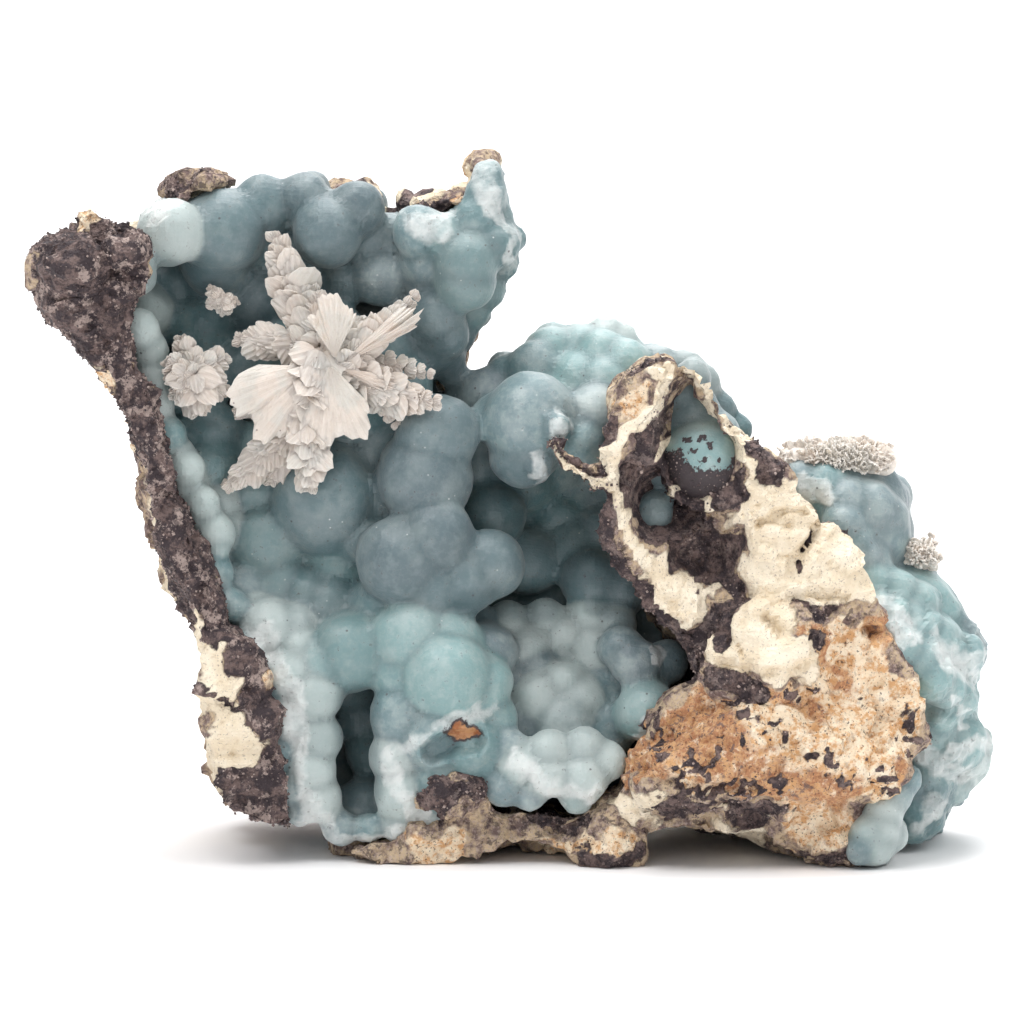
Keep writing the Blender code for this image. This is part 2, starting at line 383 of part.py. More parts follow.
def add_blade(shape, root, tip, width, thickness, roll):
    """A flat crystal blade, widest past its middle, with a blunt point."""
    along = tip - root
    side = along.cross(Vector((0, 1, 0))).normalized()
    side.rotate(Matrix.Rotation(roll, 3, along))
    face = along.cross(side).normalized()
    rings = []
    for share, wide in BLADE_RINGS:
        centre = root + along * share
        half_w, half_t = side * width * wide / 2, face * thickness * (0.6 + 0.4 * wide) / 2
        corners = (centre - half_w, centre - half_t, centre + half_w, centre + half_t)
        rings.append([shape.verts.new(corner) for corner in corners])
    for low, high in zip(rings, rings[1:]):
        for i in range(4):
            j = (i + 1) % 4
            shape.faces.new((low[i], low[j], high[j], high[i]))
    shape.faces.new(rings[0][::-1])
    shape.faces.new(rings[-1])


def add_arm(shape, root, tip, width, chance):
    """A leaf-like arm: blades that leave its spine to both sides and lean towards its tip."""
    start, end = placed(*root), placed(*tip)
    spine = end - start
    across = spine.cross(Vector((0, 1, 0))).normalized()
    body = width * ARM_BODY * MM
    add_finger(shape, start, start + spine * BODY_LENGTH, body, body)
    for k in range(BLADES_PER_ARM):
        share = k / (BLADES_PER_ARM - 1)
        lean = (-1) ** k * (1 - share)
        foot = start + spine * share * BLADE_START
        reach = foot + spine * BLADE_LENGTH + across * lean * width * BLADE_LEAN * MM
        reach += Vector((0, chance.uniform(-BLADE_JITTER, BLADE_JITTER), 0)) * MM
        roll = chance.uniform(-BLADE_ROLL, BLADE_ROLL)
        add_blade(shape, foot, reach, width * BLADE_WIDTH * MM, width * BLADE_THICKNESS * MM, roll)


def grown(name, shape, voxel):
    """One closed skin round all the shapes that overlap in a bmesh."""
    bmesh.ops.recalc_face_normals(shape, faces=shape.faces)
    made = object_from(name, shape)
    skin = made.modifiers.new("Skin", "REMESH")
    skin.mode = "VOXEL"
    skin.voxel_size = voxel * MM
    skin.adaptivity = 0
    settle(made)
    return made


def thin_out(thing, triangles):
    """Brings a solid down to a number of triangles, the most where it curves most."""
    shape = bmesh.new()
    shape.from_mesh(thing.data)
    bmesh.ops.triangulate(shape, faces=shape.faces)
    shape.to_mesh(thing.data)
    shape.free()
    fewer = thing.modifiers.new("Fewer", "DECIMATE")
    fewer.ratio = min(1.0, triangles / len(thing.data.polygons))
    fewer.use_collapse_triangulate = True
    settle(thing)


def keep_largest(thing):
    """Deletes every loose bit but the biggest."""
    shape = bmesh.new()
    shape.from_mesh(thing.data)
    left, bodies = set(shape.verts), []
    while left:
        front = [left.pop()]
        body = set(front)
        while front:
            for edge in front.pop().link_edges:
                for vertex in edge.verts:
                    if vertex in left:
                        left.discard(vertex)
                        body.add(vertex)
                        front.append(vertex)
        bodies.append(body)
    bodies.sort(key=len)
    for body in bodies[:-1]:
        bmesh.ops.delete(shape, geom=list(body), context="VERTS")
    shape.to_mesh(thing.data)
    shape.free()


def is_closed(mesh):
    shape = bmesh.new()
    shape.from_mesh(mesh)
    closed = all(edge.is_manifold for edge in shape.edges)
    shape.free()
    return closed


def swollen(neighbour, gap, voxel=None):
    """A copy of a piece that stands proud of it by the gap, with its skin grown anew if a voxel is given."""
    copy = bpy.data.objects.new("cutter", neighbour.data.copy())
    bpy.context.scene.collection.objects.link(copy)
    swell = copy.modifiers.new("Swell", "DISPLACE")
    swell.strength = gap * MM
    swell.mid_level = 0
    if voxel:
        skin = copy.modifiers.new("Skin", "REMESH")
        skin.mode = "VOXEL"
        skin.voxel_size = voxel * MM
    settle(copy)
    return copy


def take_out(thing, cutter):
    """Cuts the cutter's room out of a piece, and removes the cutter."""
    whole = thing.data
    for solver in ("EXACT", "MANIFOLD"):
        thing.data = whole
        cut = thing.modifiers.new("Cut", "BOOLEAN")
        cut.operation = "DIFFERENCE"
        cut.object = cutter
        cut.solver = solver
        cut.use_self = True
        settle(thing)
        if is_closed(thing.data):
            break
    bpy.data.objects.remove(cutter)
    keep_largest(thing)


def fit_round(thing, neighbours):
    """Cuts a finely grown piece back from its neighbours, thins it out, and clears what still touches."""
    for neighbour in neighbours:
        take_out(thing, swollen(neighbour, GAP, CUTTER_VOXEL))
    thin_out(thing, TRIANGLES[thing.name])
    cut_flat(thing, SHELF_CLEARANCE * MM)
    for neighbour in neighbours:
        take_out(thing, swollen(neighbour, CREASE_GAP))


def cut_flat(thing, height):
    """Cuts a solid off at a height, in metres, and closes it with a flat face."""
    shape = bmesh.new()
    shape.from_mesh(thing.data)
    parts = list(shape.verts) + list(shape.edges) + list(shape.faces)
    cut = bmesh.ops.bisect_plane(
        shape, geom=parts, dist=1e-7, plane_co=(0, 0, height), plane_no=(0, 0, -1), clear_outer=True
    )
    rims = [part for part in cut["geom_cut"] if isinstance(part, bmesh.types.BMEdge)]
    bmesh.ops.edgeloop_fill(shape, edges=rims)
    bmesh.ops.recalc_face_normals(shape, faces=shape.faces)
    bmesh.ops.triangulate(shape, faces=shape.faces)
    shape.to_mesh(thing.data)
    shape.free()


def rock_relief(point):
    """How far the broken rock stands proud of its plain form at a point in millimetres, in millimetres."""
    point = point + Vector((CENTRE_X, CENTRE_Y, 0))
    lump = noise.noise(point / LUMP_WIDTH)
    chip = noise.noise(point / CHIP_WIDTH + Vector((7.1, 2.3, 5.9)))
    return LUMP_HEIGHT * lump + CHIP_HEIGHT * chip


def roughen(thing):
    mesh = thing.data
    moves = [vertex.normal * rock_relief(vertex.co / MM) * MM for vertex in mesh.vertices]
    for vertex, move in zip(mesh.vertices, moves):
        vertex.co += move


def press_pockets(thing):
    """Pushes the front of the right mass back where it has hollows."""
    for vertex in thing.data.vertices:
        if vertex.normal.y > FACING_FRONT:
            continue
        place = vertex.co / MM
        depth = place.y + CENTRE_Y
        nearness = 1 + depth / EYE_DISTANCE
        x = (place.x + CENTRE_X) / nearness
        height = EYE_HEIGHT + (place.z + SHELF_HEIGHT + depth * SIGHT_FALL - EYE_HEIGHT) / nearness
        if depth > POCKET_START:
            continue
        for (middle_x, middle_h), (half_x, half_h), deep in POCKETS:
            away = math.hypot((x - middle_x) / half_x, (height - middle_h) / half_h)
            if away < 1:
                vertex.co.y = max(vertex.co.y, vertex.co.y + deep * MM * (1 - away ** 3))
                break


BALL = unit_ball()


def make_rock():
    shape = bmesh.new()
    for outline, front, back, narrowing in ROCK_SLABS:
        add_slab(shape, outline, front, back, narrowing)
    for place, half_sizes in ROCK_LUMPS:
        add_lump(shape, place, half_sizes)
    for rib in ROCK_RIBS:
        for (x1, h1, y1, r1), (x2, h2, y2, r2) in zip(rib, rib[1:]):
            add_finger(shape, placed(x1, h1, y1), placed(x2, h2, y2), r1 * MM, r2 * MM)
    for x, depth, radius in FEET:
        centre = placed(x, 0, depth)
        centre.z = (radius - FOOT_DIP) * MM
        top = centre + Vector((0, 0, radius * FOOT_STRETCH * MM))
        add_finger(shape, centre, top, radius * MM, radius * MM)
    rock = grown("matrix", shape, ROCK_VOXEL)
    keep_largest(rock)
    press_pockets(rock)
    roughen(rock)
    thin_out(rock, TRIANGLES[rock.name])
    cut_flat(rock, 0)
    return rock


def make_crust(name, groups, neighbours, beds=()):
    """One crust from groups of (globes, root depth, seed)."""
    shape = bmesh.new()
    for outline, front, back in beds:
        add_slab(shape, outline, front, back, BED_NARROWING)
    for globes, root, seed in groups:
        add_globes(shape, globes, root)
        add_balls(shape, side_globes(globes, root, seed))
    crust = grown(name, shape, CRUST_VOXEL)
    keep_largest(crust)
    fit_round(crust, neighbours)
    return crust


def make_crystals(name, arms, neighbours, seed, foot=None):
    chance = random.Random(seed)
    shape = bmesh.new()
    if foot:
        start, end, radius = foot
        add_finger(shape, placed(*start), placed(*end), radius * MM, radius * MM)
    for root, tip, width in arms:
        add_arm(shape, root, tip, width, chance)
    crystals = grown(name, shape, CRYSTAL_VOXEL)
    fit_round(crystals, neighbours)
    return crystals


def paint(thing, colour, roughness):
    material = bpy.data.materials.new(thing.name)
    material.use_nodes = True
    shader = material.node_tree.nodes["Principled BSDF"]
    shader.inputs["Base Color"].default_value = (*colour, 1)
    shader.inputs["Roughness"].default_value = roughness
    shader.inputs["Metallic"].default_value = 0
    thing.data.materials.clear()
    thing.data.materials.append(material)


def main():
    clear_scene()
    rock = make_rock()
    vug = make_crust(
        "vug_crust",
        [
            (VUG_GLOBES, VUG_ROOT, VUG_SEED), (RIM_GLOBES, VUG_ROOT, RIM_SEED),
            (HUMP_GLOBES, HUMP_ROOT, HUMP_SEED),
        ],
        [rock], [(CRUST_BED, BED_FRONT, BED_BACK)],
    )
    pocket = make_crust("pocket_crust", [(POCKET_GLOBES, POCKET_ROOT, POCKET_SEED)], [rock, vug])
    right = make_crust("right_crust", [(RIGHT_GLOBES, RIGHT_ROOT, RIGHT_SEED)], [rock, vug])
    foot = make_crust("foot_crust", [(FOOT_GLOBES, FOOT_ROOT, FOOT_SEED)], [rock, right])
    spray = make_crystals("crystal_spray", SPRAY_ARMS, [vug, rock], SPRAY_SEED)
    rosette = make_crystals("crystal_rosette", ROSETTE_ARMS, [vug, rock, spray], ROSETTE_SEED)
    button = make_crystals("crystal_button", BUTTON_ARMS, [vug, spray], BUTTON_SEED, BUTTON_FOOT)
    druse = make_crystals("crystal_druse", DRUSE_ARMS, [right, rock], DRUSE_SEED, DRUSE_FOOT)
    tuft = make_crystals("crystal_tuft", TUFT_ARMS, [right, rock], TUFT_SEED, TUFT_FOOT)
    paint(rock, ROCK_COLOUR, ROCK_ROUGHNESS)
    for crust in (vug, pocket, right, foot):
        crust.data.shade_smooth()
        crust.data.set_sharp_from_angle(angle=CREASE_ANGLE)
        paint(crust, CRUST_COLOUR, CRUST_ROUGHNESS)
    for crystals in (spray, rosette, button, druse, tuft):
        paint(crystals, CRYSTAL_COLOUR, CRYSTAL_ROUGHNESS)


main()
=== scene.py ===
"""The looks of the smithsonite specimen: rock, globes, grains and crystals round the fixed frame.

Places are (x, height, depth) in millimetres, as in the model. x and height are read off a front view,
and depth runs backwards from the middle of the stone.
"""

import math
import random

import bmesh
import bpy
import numpy as np
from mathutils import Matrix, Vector, noise


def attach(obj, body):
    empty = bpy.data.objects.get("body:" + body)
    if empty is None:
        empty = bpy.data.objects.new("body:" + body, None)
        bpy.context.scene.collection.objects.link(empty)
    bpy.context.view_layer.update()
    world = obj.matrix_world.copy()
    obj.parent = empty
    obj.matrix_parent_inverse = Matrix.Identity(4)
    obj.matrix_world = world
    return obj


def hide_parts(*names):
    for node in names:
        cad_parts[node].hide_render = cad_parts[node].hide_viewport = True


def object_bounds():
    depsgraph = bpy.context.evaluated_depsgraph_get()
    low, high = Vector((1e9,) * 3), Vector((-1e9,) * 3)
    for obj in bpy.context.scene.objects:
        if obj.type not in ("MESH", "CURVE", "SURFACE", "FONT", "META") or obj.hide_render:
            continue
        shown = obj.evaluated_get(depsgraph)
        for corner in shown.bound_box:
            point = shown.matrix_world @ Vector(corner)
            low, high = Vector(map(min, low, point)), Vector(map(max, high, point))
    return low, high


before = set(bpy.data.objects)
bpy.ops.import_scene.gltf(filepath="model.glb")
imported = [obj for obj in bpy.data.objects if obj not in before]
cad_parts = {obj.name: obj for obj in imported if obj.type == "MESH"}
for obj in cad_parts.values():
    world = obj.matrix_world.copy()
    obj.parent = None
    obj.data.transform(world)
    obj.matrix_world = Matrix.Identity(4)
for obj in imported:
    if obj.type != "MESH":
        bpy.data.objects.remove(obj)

MODEL_BOX = [list(corner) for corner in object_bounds()]
MM = 0.001

# The front view, as in the model.
EYE_DISTANCE = 600.0
EYE_HEIGHT = 36.0
SIGHT_FALL = 0.105
SHELF_HEIGHT = 2.4
CENTRE_X, CENTRE_Y = 0.05, 1.93
VIEW_WIDTH = 102.4
VIEW_MIDDLE_X = -0.3

# Relief of the broken rock, as in the model, and the finer relief on top of it. A relief that is one of
# several is its height, its width and its seed.
LUMP_HEIGHT, LUMP_WIDTH = 1.9, 10.0
CHIP_HEIGHT, CHIP_WIDTH, CHIP_SHIFT = 0.8, 3.6, (7.1, 2.3, 5.9)
FLAT_CHIPS = [(0.80, 5.2, 1), (0.45, 2.3, 2)]
GRIT = [(1.0, 1.6, 2), (0.8, 0.9, 3)]
GRIT_HEIGHT, DARK_GRIT, RUST_GRIT = 0.26, 0.30, 0.20
LAYER_HEIGHT, LAYER_WIDTH, LAYER_SQUEEZE = 0.45, 1.7, (0.4, 0.4, 1.4)
VEIN_HEIGHT, STAIN_DEPTH, CRACK_DEPTH = 0.6, 0.45, 0.9
# The dark stain isn't pressed in left of here, and over how much that fades.
LEFT_PART_END, LEFT_PART_FADE = -22.0, 4.0
# The rock and the crusts are painted in front of these depths, and over how much that fades.
PAINT_END, CRUST_PAINT_END, PAINT_FADE = 2.0, 4.0, 6.0
# How far the edges of what is painted stray: the rock's patches and strokes, the crust's, and its stain.
PATCH_STRAY, STROKE_STRAY, CRUST_STRAY, STAIN_STRAY = 0.75, 0.30, 0.45, 0.16
# Where the pockets may be pressed in: before this depth, on what faces the front, and off the outline.
POCKET_START, FACING_FRONT, POCKET_MARGIN = -6.0, -0.2, 1.6
# How far the pieces stay inside the model's box.
ROOM_MARGIN = 0.05

# Fineness of the rock and the crusts: the voxel that they are grown with.
ROCK_VOXEL, CRUST_VOXEL = 0.50, 0.48
# The globes stand a little larger than the model's, and their creases are softened this many times.
GLOBE_SWELL, SIDE_SWELL, CREASE_SOFTENING = 1.05, 1.08, 6
# How uneven a globe is: its stretch, and the swells that run over it.
GLOBE_STRETCH, GLOBE_SWAY, GLOBE_SWING = 0.05, 0.022, 1.3
# The finger of crust behind a globe: how much its end strays, its least length, and its two radii.
FINGER_STRAY, FINGER_LEAST, FINGER_FRONT, FINGER_BACK = 3.2, 0.5, 0.88, 0.58
# Relief of the crusts, and of what is broken white on them: its height, width and seed.
SWELLINGS = [(0.06, 1.2, 4), (0.20, 3.4, 5)]
WHITE_CHIPS, WHITE_GRIT = (0.20, 1.9, 3), (0.12, 0.9, 6)
# The far right crust runs in folds below a height: its softening, how folded it is, the height and its fade.
FOLD_SOFTENING, FOLD_SHARE, FOLD_TOP, FOLD_FADE = 8, 0.8, 31.0, 5.0
FOLDS, FOLD_CHIPS = [(0.9, 4.6, 7), (0.4, 1.7, 8)], (0.3, 2.6, 5)
CAVITY_DEPTH, CREASE_WIDTH, TONE_BLEND = 1.5, 0.9, 0.25

# The broken left wall, seen edge on: its outer side from the top down, then its inner side upwards.
LEFT_WALL = [
    (-42.4, 66.8), (-43.6, 64.8), (-46, 63.2), (-47.4, 61.8), (-46.4, 58.6), (-43, 54.4), (-41.6, 50.4),
    (-39, 47.3), (-37.6, 43), (-36.2, 36), (-34, 29.6), (-32, 24.6), (-30.6, 18.2), (-29.9, 12.7),
    (-28.8, 7.2), (-27, 4.4), (-22.5, 3), (-21.6, 4.4), (-23, 9.2), (-24.4, 13.7), (-25.5, 19.2),
    (-28, 23.2), (-30, 29.2), (-31.6, 32.7), (-33.6, 38.2), (-35.4, 43.2), (-36, 48.2), (-37.6, 52.7),
    (-39.2, 57.2), (-37, 61), (-37, 64.4), (-40.3, 65.6),
]
# The wall behind the crust, all across the specimen.
BACK_WALL = [
    (-43, 62.5), (-38, 65.5), (-32.5, 69), (-30, 69.5), (-27, 67.3), (-21, 68.3), (-16, 68), (-12.5, 67),
    (-8, 66.7), (-5, 68.4), (-3.2, 69.8), (-2.4, 64), (-4.5, 56), (-7.5, 51.5), (-7, 47.5), (-2, 48.6),
    (3, 51), (9, 52.8), (13, 51.5), (18, 48.4), (23.2, 42.6), (28, 41), (35, 41), (37, 37), (38, 33),
    (41.5, 28.5), (44.5, 22.5), (44.5, 15), (43.5, 9), (41, 4.5), (32, 4), (18, 5), (0, 5.5), (-16, 5),
    (-27, 6), (-31, 18), (-36, 36), (-38.5, 46), (-44, 55),
]
# The broken mass on the right, from its peak round by the right.
RIGHT_MASS = [
    (13, 51.6), (15.5, 52.2), (18.2, 50.2), (20.2, 46.8), (22.8, 43), (27.2, 41), (28, 38.4), (31.6, 35.2),
    (34.3, 30.4), (35.4, 27), (37, 23.2), (40.4, 19), (40.8, 13.2), (39.2, 9.4), (35.4, 6.6), (34.6, 1.6),
    (32.6, 0.4), (28.6, 1.6), (24.5, 3.2), (18.5, 3), (14.5, 3.8), (9.6, 6), (10.6, 9.2), (13.6, 13.2),
    (14.6, 17), (17.6, 18.8), (17, 22.2), (13.8, 26.2), (11, 30.6), (9, 33.4), (8.6, 38), (9.2, 41),
    (9.6, 45.2), (10.6, 49.2),
]
# The low sill that joins the two below the hollow.
SILL = [
    (-16.5, 1.6), (-10, 3.6), (-4, 5.6), (0.5, 6.4), (5, 6), (10.5, 6.2), (14.5, 4.5), (13, 1.6),
    (10.5, 0.6), (6.5, 1.6), (0, 2.4), (-5, 1.2), (-12, 0.6),
]
# Slabs of rock: outline, depth of the front, depth of the back, and how much the back narrows.
ROCK_SLABS = [
    (LEFT_WALL, -14, 14, 0.88), (BACK_WALL, 5.5, 19, 0.88), (RIGHT_MASS, -14.5, 14, 0.9),
    (SILL, -12.5, 12, 0.92),
]
# Rounded swellings of the rock: place and half sizes in x, depth and height.
ROCK_LUMPS = [
    ((-30.8, 69.3, 2), (2.9, 7, 1.5)), ((-33, 68, 2), (2.2, 7, 1.6)), ((-15.8, 67.6, 4), (2.6, 7, 1.1)),
    ((-8.6, 66.8, 2), (2.8, 7, 1.5)), ((-5.8, 67.6, 2), (2.2, 7, 1.4)), ((-3.3, 70.2, 3), (1.2, 7, 1.4)),
    ((-43.8, 61, -10), (3.8, 8, 2.6)), ((-38.5, 62.5, -12), (2, 5, 2)),
    ((-5.6, 7.6, -12.8), (4.4, 2.4, 2.1)), ((25.6, 22, -13.5), (7.6, 4, 8)), ((27, 11, -14), (12, 5, 6.5)),
    ((27.5, 33, -12), (6, 3.5, 5)), ((20, 9, -15), (8, 4, 4.5)), ((-6, 30, 17), (16, 6, 18)),
    ((22, 22, 16), (15, 6.5, 14)), ((-22, 52, 16.5), (13, 5, 12)), ((-22, 18, 14), (9, 7, 12)),
]
# The thin arm of rock that crosses in front of the hollow.
ROCK_RIBS = [
    [(3.4, 43.2, -12.5, 0.9), (5.3, 40.9, -12.5, 1.2), (7.6, 39.6, -12.5, 1.4), (10, 39.2, -12, 1.6)],
]
# Feet: x, depth and radius. Each is cut flat where it meets the shelf.
FEET = [(33, -12, 4), (9.6, -10.5, 4), (-16.4, -4, 2.8), (-13, 11.5, 5.5), (25, 13, 5.5)]
FOOT_DIP, FOOT_STRETCH = 1.7, 0.3
# Hollows pressed into the right mass: place, half sizes, and depth.
POCKETS = [((18.5, 43.5), (4.6, 7.6), 6.5), ((15.5, 37), (4.4, 4.2), 5), ((19.5, 32.5), (4.6, 4.6), 3)]

# Globes of smithsonite: x, height, depth of the centre, and radius.
VUG_GLOBES = [
    (-34.3, 64, -6, 3.3), (-29.3, 64, -3, 4.2), (-29.7, 61, -1.5, 3.4), (-33.7, 59, 2, 3),
    (-37, 56.4, -1, 2.7), (-34.3, 55.4, 1.5, 2.8), (-31.1, 54.2, 0, 3.2), (-25.2, 66.3, -1, 3.2),
    (-24.7, 63, 0.5, 2.8), (-20.9, 67.6, -1.5, 2.5), (-18.7, 63.9, -3.5, 3.3), (-15.8, 66.4, -2.5, 2.7),
    (-13.4, 59.5, -0.5, 2.9), (-16.9, 58.9, 0, 2.4), (-20.3, 61.6, 1, 2.2), (-14.1, 63, 0.5, 2.6),
    (-11.9, 63.6, 0, 2.3), (-9.6, 64, -4, 2.6), (-7.2, 63.6, -4.5, 2.2), (-9, 60.9, -3, 2.2),
    (-4.7, 61.2, -5, 3), (-4.9, 58.9, -4.6, 2.8), (-1.9, 62.9, -4, 2.4), (-0.4, 63.3, -1, 1.5),
    (-2.7, 69.6, -3, 1.6), (-2.8, 67.8, -3.5, 2), (-3.9, 65.3, -4, 2.3), (-1.8, 65.4, -2.5, 1.7),
    (-7.7, 55.7, -3, 2.8), (-6.9, 53.9, -2.5, 2.4), (-8.5, 58.9, -2, 2.2), (-10, 54.6, -1, 2.8),
    (-8.3, 52.5, -1, 2.5), (-7, 51.4, 0, 2), (-1.3, 61, 1, 1.7), (-2.8, 58.2, 1, 1.8), (-4.2, 56, 1, 1.8),
    (-5.5, 53.7, 1, 1.7), (-6.4, 50.2, 0.5, 1.6), (-30.3, 43.7, -2.5, 3.2), (-16.2, 46.6, -3, 3.6),
    (-26.9, 50.4, -1, 2.9), (-19.1, 37.4, -4.5, 5.2), (-24.8, 33.1, -3.5, 3.6), (-23.6, 28.6, -3.5, 3.1),
    (-27.5, 37.6, 0, 2.9), (-17.9, 30.6, -3, 3.2), (-13.2, 43.2, -2, 3.3), (-21.5, 45.2, -2, 3.6),
    (-26, 41.7, -1.5, 3.2), (-22.5, 51.2, -2, 3.5), (-18, 53.5, -1.5, 3.3), (-13, 52.2, -2, 3.1),
    (-11.5, 48.7, -2.5, 3.2), (-25.5, 57.2, 1, 3.4), (-22, 58.4, 0.5, 3), (-28.8, 57.2, 2, 3),
    (-32, 48.7, -1.5, 3.2), (-13.5, 37, -3, 3.4), (-7.8, 43.8, -7, 3.9), (-9, 39.4, -7, 4.5),
    (-11.4, 31.2, -9, 4.2), (-7.8, 33.7, -9.5, 3.5), (-2.4, 30.8, -8, 3.3), (-5, 29.2, -8.5, 3.4),
    (-8.2, 28.8, -8.5, 3.4), (-2.2, 35.5, -1, 3.2), (0.5, 39.2, 3, 3.4), (4.5, 35.2, 5.5, 3.4),
    (3.4, 41, 4, 3.2), (7.7, 29.1, 0, 3), (10.3, 28.2, 0.5, 3), (1.4, 31, 2, 3.2), (5.8, 32, 3, 3),
    (9, 33.5, 4, 3.4), (-4.7, 24.7, -4, 2.7), (-0.7, 24.8, -2.5, 2.2), (3, 25.3, -1.8, 2.1),
    (4.9, 23.6, -2.2, 2), (7.6, 25.4, -1.5, 2.1), (1.2, 22.3, -3.2, 2.4), (2.2, 20.3, -3.8, 2.1),
    (-1.1, 19.4, -4.5, 2.2), (7.8, 22, -2.5, 2.4), (10.2, 24.6, -2, 2.2), (4.9, 18.9, -5.5, 2.1),
    (6.3, 17.1, -5.5, 2.6), (2.4, 17, -5.5, 2.8), (5, 14.8, -6, 3.2), (1, 14.4, -5, 3),
    (8.6, 17.9, -3.5, 2.4), (10.7, 22.3, -6, 2.2), (12, 20.8, -7, 2.5), (13.2, 15.9, -8, 3.1),
    (9.6, 14.2, -5.5, 2.6), (-16.5, 21.9, -9, 3.8), (-10.6, 23.4, -10, 3.5), (-24.5, 24.3, -8, 2.8),
    (-22.2, 24.4, -7.5, 2.4), (-21.5, 22, -8.5, 2.6), (-6.9, 19.4, -11.5, 4.2), (-3.6, 18.6, -10, 3.2),
    (-6.5, 23, -9.5, 3.1), (-2.8, 22, -7, 2.9), (-11.6, 15.4, -11, 2.9), (-12, 11.4, -11, 2.7),
    (-11.4, 7.7, -11, 2.8), (-8.2, 13.2, -12, 3.1), (-4.4, 12.4, -11.6, 3.2), (-7.5, 8.6, -11, 3),
    (-2.4, 15.2, -10, 2.6), (-20.2, 17.4, -10.5, 2.7), (-19.8, 13.3, -10.5, 2.5), (-20.5, 10.2, -10.5, 2.5),
    (-19.8, 7.2, -10, 2.4), (-22.5, 15.2, -10, 2.5), (-19.2, 20.8, -9.5, 2.7), (-22.6, 19.6, -10, 2.6),
    (-21.6, 6, -10, 1.8), (-17.6, 4, -9.5, 1.7), (-14.6, 4, -10, 1.6), (-11.6, 4.6, -10.5, 1.8),
    (-8.4, 5.2, -10.5, 1.8), (-15.5, 15, -1, 2.6), (-14.5, 11.5, -2, 2.5), (-15.4, 6.4, -4.5, 2.8),
    (-16.6, 18.5, -2, 2.8), (3.4, 11.8, -12, 2.1), (7, 12.2, -11.6, 2), (9.2, 10.8, -11.6, 2),
    (0.4, 10.4, -12.4, 2.2), (3.2, 9.2, -12.8, 2.2), (7, 9, -12.6, 2.2), (6.2, 7, -12.4, 1.6),
    (-0.6, 12.4, -12, 1.7), (-1.2, 8.2, -12.4, 2), (1.6, 7.4, -12.6, 1.6), (-18.6, 26.6, -5, 3),
    (-13.6, 26.4, -6.5, 3.2), (-20.6, 27.6, -4.5, 2.8), (-27.6, 28.2, -4.5, 2.6), (-26.4, 25.6, -6, 2.4),
    (-30.2, 40.7, -4.5, 2.6), (-30, 37.2, -4.5, 2.4), (-28.8, 34.4, -4, 2.3), (-26.4, 34.8, -1.5, 2.7),
    (-15.2, 33.4, -5.5, 2.5), (-11.5, 19.4, -10.2, 2.6), (15.2, 20.8, -5, 2.2),
]
RIM_GLOBES = [
    (-32.7, 40.4, -9, 1.7), (-31.1, 37, -8.5, 1.6), (-29.7, 33.9, -8, 1.9), (-29.6, 32.2, -9, 1),
    (-30, 29.9, -8.5, 1.8), (-37.4, 54.4, -8.5, 2), (-36.4, 52.2, -7.5, 1.9), (-36.2, 49.6, -7.5, 1.9),
    (-35.7, 46.8, -8, 1.8), (-34.6, 43.8, -8.5, 1.7), (-37.8, 59.9, -9, 2.2), (-28.6, 26.6, -8.5, 1.8),
    (-26.8, 22, -9, 2.2), (-24.8, 18, -10, 2), (-23.8, 11.4, -10.5, 2), (-22.6, 8.2, -10.5, 2),
    (-32.6, 38.6, -7.6, 1.7), (-31.2, 35.4, -7.2, 1.6), (-26, 38.4, -3.2, 2.4), (-33.6, 41.8, -7.6, 1.6),
]
HUMP_GLOBES = [
    (1.5, 45, -6, 4.7), (0.9, 41.8, -6, 3.4), (-1.5, 45.4, -4.5, 2.8), (8, 45.8, -5, 2.9),
    (6.8, 43, -6.5, 2.6), (4.3, 44.6, -10.6, 1.3), (2.4, 40.9, -8.8, 1.5), (3.8, 51.8, 2, 2.9),
    (6.4, 52, 2, 2.8), (8.9, 53.8, 3, 1.9), (10.7, 53.3, 3, 1.7), (8.7, 51.5, 0, 2.7), (11, 50.9, -1, 2.6),
    (2.1, 50.3, 0, 2.8), (6.2, 49.2, -1, 2.9), (9, 48.9, -2, 2.8), (-0.8, 49.6, 1, 2.3),
    (-2.9, 47.9, 0, 2.6), (-4, 45.8, 1.5, 2.8), (-4.9, 47.2, 2, 2.2), (-3.7, 40.6, 2, 3.2),
    (-2.9, 43, 2.5, 3.2), (18.4, 48.8, 0, 2.1), (20.2, 46.4, 0.5, 1.8), (22, 44.2, 1, 1.7),
    (14, 50.4, 1, 2.4), (17, 50, 1.5, 2.2),
]
POCKET_GLOBES = [
    (16.9, 47.7, -7, 2.6), (17.6, 49.6, -6.4, 1.9), (17.9, 45.8, -7.5, 2.6), (18.8, 41, -9.2, 4),
    (21, 40, -9.4, 3), (19.6, 43.6, -8, 2.8), (15.2, 44.2, -7.4, 2), (14.6, 40.6, -8.6, 1.9),
    (13.9, 36, -9.6, 1.9),
]
